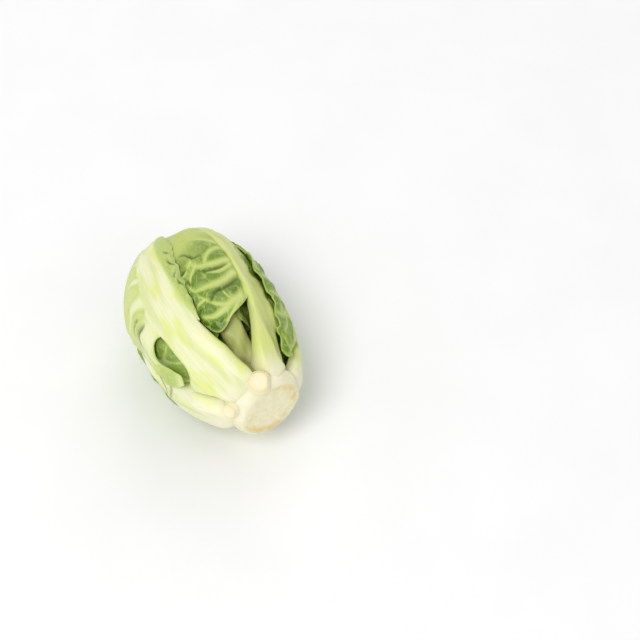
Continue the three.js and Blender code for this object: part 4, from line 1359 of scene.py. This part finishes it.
# %% Stalk material
def stalk_material():
    material, tree, shader = new_material("Cut stalk", 0.55, 0.2, (1.0, 0.8, 0.4))
    coordinates_node = tree.nodes.new("ShaderNodeTexCoord")
    place = scaled(tree, coordinates_node.outputs["Object"], (1000, 1000, 1000))
    tone = place_group(tree, MOTTLE, place, Grain=0.4)
    outside = mix_colour(tree, range_of(tree, tone, 0.35, 0.75), linear("F7F1DA"), linear("F0EAC4"))
    # Deep in the head the skin is painted olive, as shade
    skin = mix_colour(tree, range_of(tree, attribute(tree, "reach"), 0.0, 1.0), linear("A9AC62"), outside)
    ring = attribute(tree, "ring")
    wobble = math_node(tree, "MULTIPLY", noise(tree, place, 0.5, 3), 0.14)
    radius = math_node(tree, "ADD", ring, wobble)
    cloudy = range_of(tree, noise(tree, place, 0.8, 2), 0.35, 0.7)
    pith = mix_colour(tree, cloudy, linear("F6F0CE"), linear("F0E8BE"))
    ochre = range_of(tree, noise(tree, place, 0.28, 2), 0.4, 0.62, 0.1, 1.0)
    dried = mix_colour(tree, ochre, pith, linear("E6D28C"))
    ringed = mix_colour(tree, range_of(tree, radius, 0.62, 0.94), pith, dried)
    rimmed = mix_colour(tree, range_of(tree, radius, 0.97, 1.04), ringed, linear("F4EED6"))
    base = mix_colour(tree, attribute(tree, "cut"), skin, rimmed)
    scar = mix_colour(tree, range_of(tree, ring, 0.5, 1.0), linear("F8EDC9"), linear("F2E2B2"))
    coloured = mix_colour(tree, attribute(tree, "scar"), base, scar)
    link(tree, coloured, shader.inputs["Base Color"])
    bump_from(tree, noise(tree, place, 2.2, 4), 0.14, shader)
    return material


stalk.data.materials.append(stalk_material())

# %% [markdown]
# Floor, light and camera
#
# A pale floor with no edge in sight, one large soft lamp from the front and a fill from behind, and a
# white surround. The camera looks down on the sprout from beyond its cut end, with a long lens.

# %% Stage
FLOOR_HALF = 2.0


def floor_piece():
    mesh = bpy.data.meshes.new("floor")
    corners = [(x * FLOOR_HALF, y * FLOOR_HALF, 0) for x, y in ((-1, -1), (1, -1), (1, 1), (-1, 1))]
    mesh.from_pydata(corners, [], [(0, 1, 2, 3)])
    floor = bpy.data.objects.new("floor", mesh)
    bpy.context.scene.collection.objects.link(floor)
    material, tree, shader = new_material("Pale floor", 0.7, 0.0, (1, 1, 1))
    coordinates_node = tree.nodes.new("ShaderNodeTexCoord")
    tone = noise(tree, coordinates_node.outputs["Object"], 40, 2)
    colour = mix_colour(tree, range_of(tree, tone, 0.3, 0.7), (0.93, 0.93, 0.93, 1), (0.95, 0.95, 0.95, 1))
    link(tree, colour, shader.inputs["Base Color"])
    mesh.materials.append(material)


def soft_lamp(name, place, target, size, watts):
    data = bpy.data.lights.new(name, "AREA")
    data.shape, data.size, data.energy = "DISK", size, watts
    lamp = bpy.data.objects.new(name, data)
    lamp.location = place
    lamp.rotation_euler = (Vector(target) - Vector(place)).to_track_quat("-Z", "Y").to_euler()
    bpy.context.scene.collection.objects.link(lamp)


floor_piece()
HEAD_HEIGHT = AXIS_HEIGHT * MM
soft_lamp("key", (0.25, -0.45, 0.75), (0, 0, HEAD_HEIGHT), 0.45, 3.9)
soft_lamp("fill", (-0.45, 0.4, 0.5), (0, 0, HEAD_HEIGHT), 0.6, 1.0)
world = bpy.data.worlds.new("Surround")
world.use_nodes = True
world.node_tree.nodes["Background"].inputs["Color"].default_value = (1, 1, 1, 1)
world.node_tree.nodes["Background"].inputs["Strength"].default_value = 0.6
bpy.context.scene.world = world
bpy.context.scene.view_settings.view_transform = "Standard"

# %% [markdown]
# The camera stands where the sprout's outline and the cut face's ellipse in the photograph put it: turned
# 62.6 degrees from the side, 55 degrees up, with the sprout to the left and a little below the middle.

# %% Camera
VIEW_TURN, VIEW_RISE = math.radians(62.6), math.radians(55)
LENS, SENSOR, PICTURE = 100.0, 36.0, 640
CAMERA_DISTANCE = 389.86
SPROUT_RIGHT, SPROUT_DOWN = -108.3, 48.3  # where the head's middle stands from the picture's, in pixels
level = np.array([math.sin(VIEW_TURN), -math.cos(VIEW_TURN), 0])
back = level * math.cos(VIEW_RISE) + np.array([0, 0, math.sin(VIEW_RISE)])
right = np.array([math.cos(VIEW_TURN), math.sin(VIEW_TURN), 0])
above = np.cross(back, right)
pixels_per_focal = LENS / SENSOR * PICTURE
look = -back - right * SPROUT_RIGHT / pixels_per_focal + above * SPROUT_DOWN / pixels_per_focal
look /= np.linalg.norm(look)
camera_right = right - look * (right @ look)
camera_right /= np.linalg.norm(camera_right)
camera_up = np.cross(camera_right, look)
camera_data = bpy.data.cameras.new("camera")
camera_data.lens, camera_data.sensor_width = LENS, SENSOR
camera = bpy.data.objects.new("camera", camera_data)
eye = (back * CAMERA_DISTANCE + SHIFT - np.array([0, 0, HEAD_RADIUS])) * MM
turn = Matrix(np.column_stack([camera_right, camera_up, -look]).tolist()).to_4x4()
camera.matrix_world = Matrix.Translation(Vector(eye)) @ turn
bpy.context.scene.collection.objects.link(camera)
bpy.context.scene.camera = camera
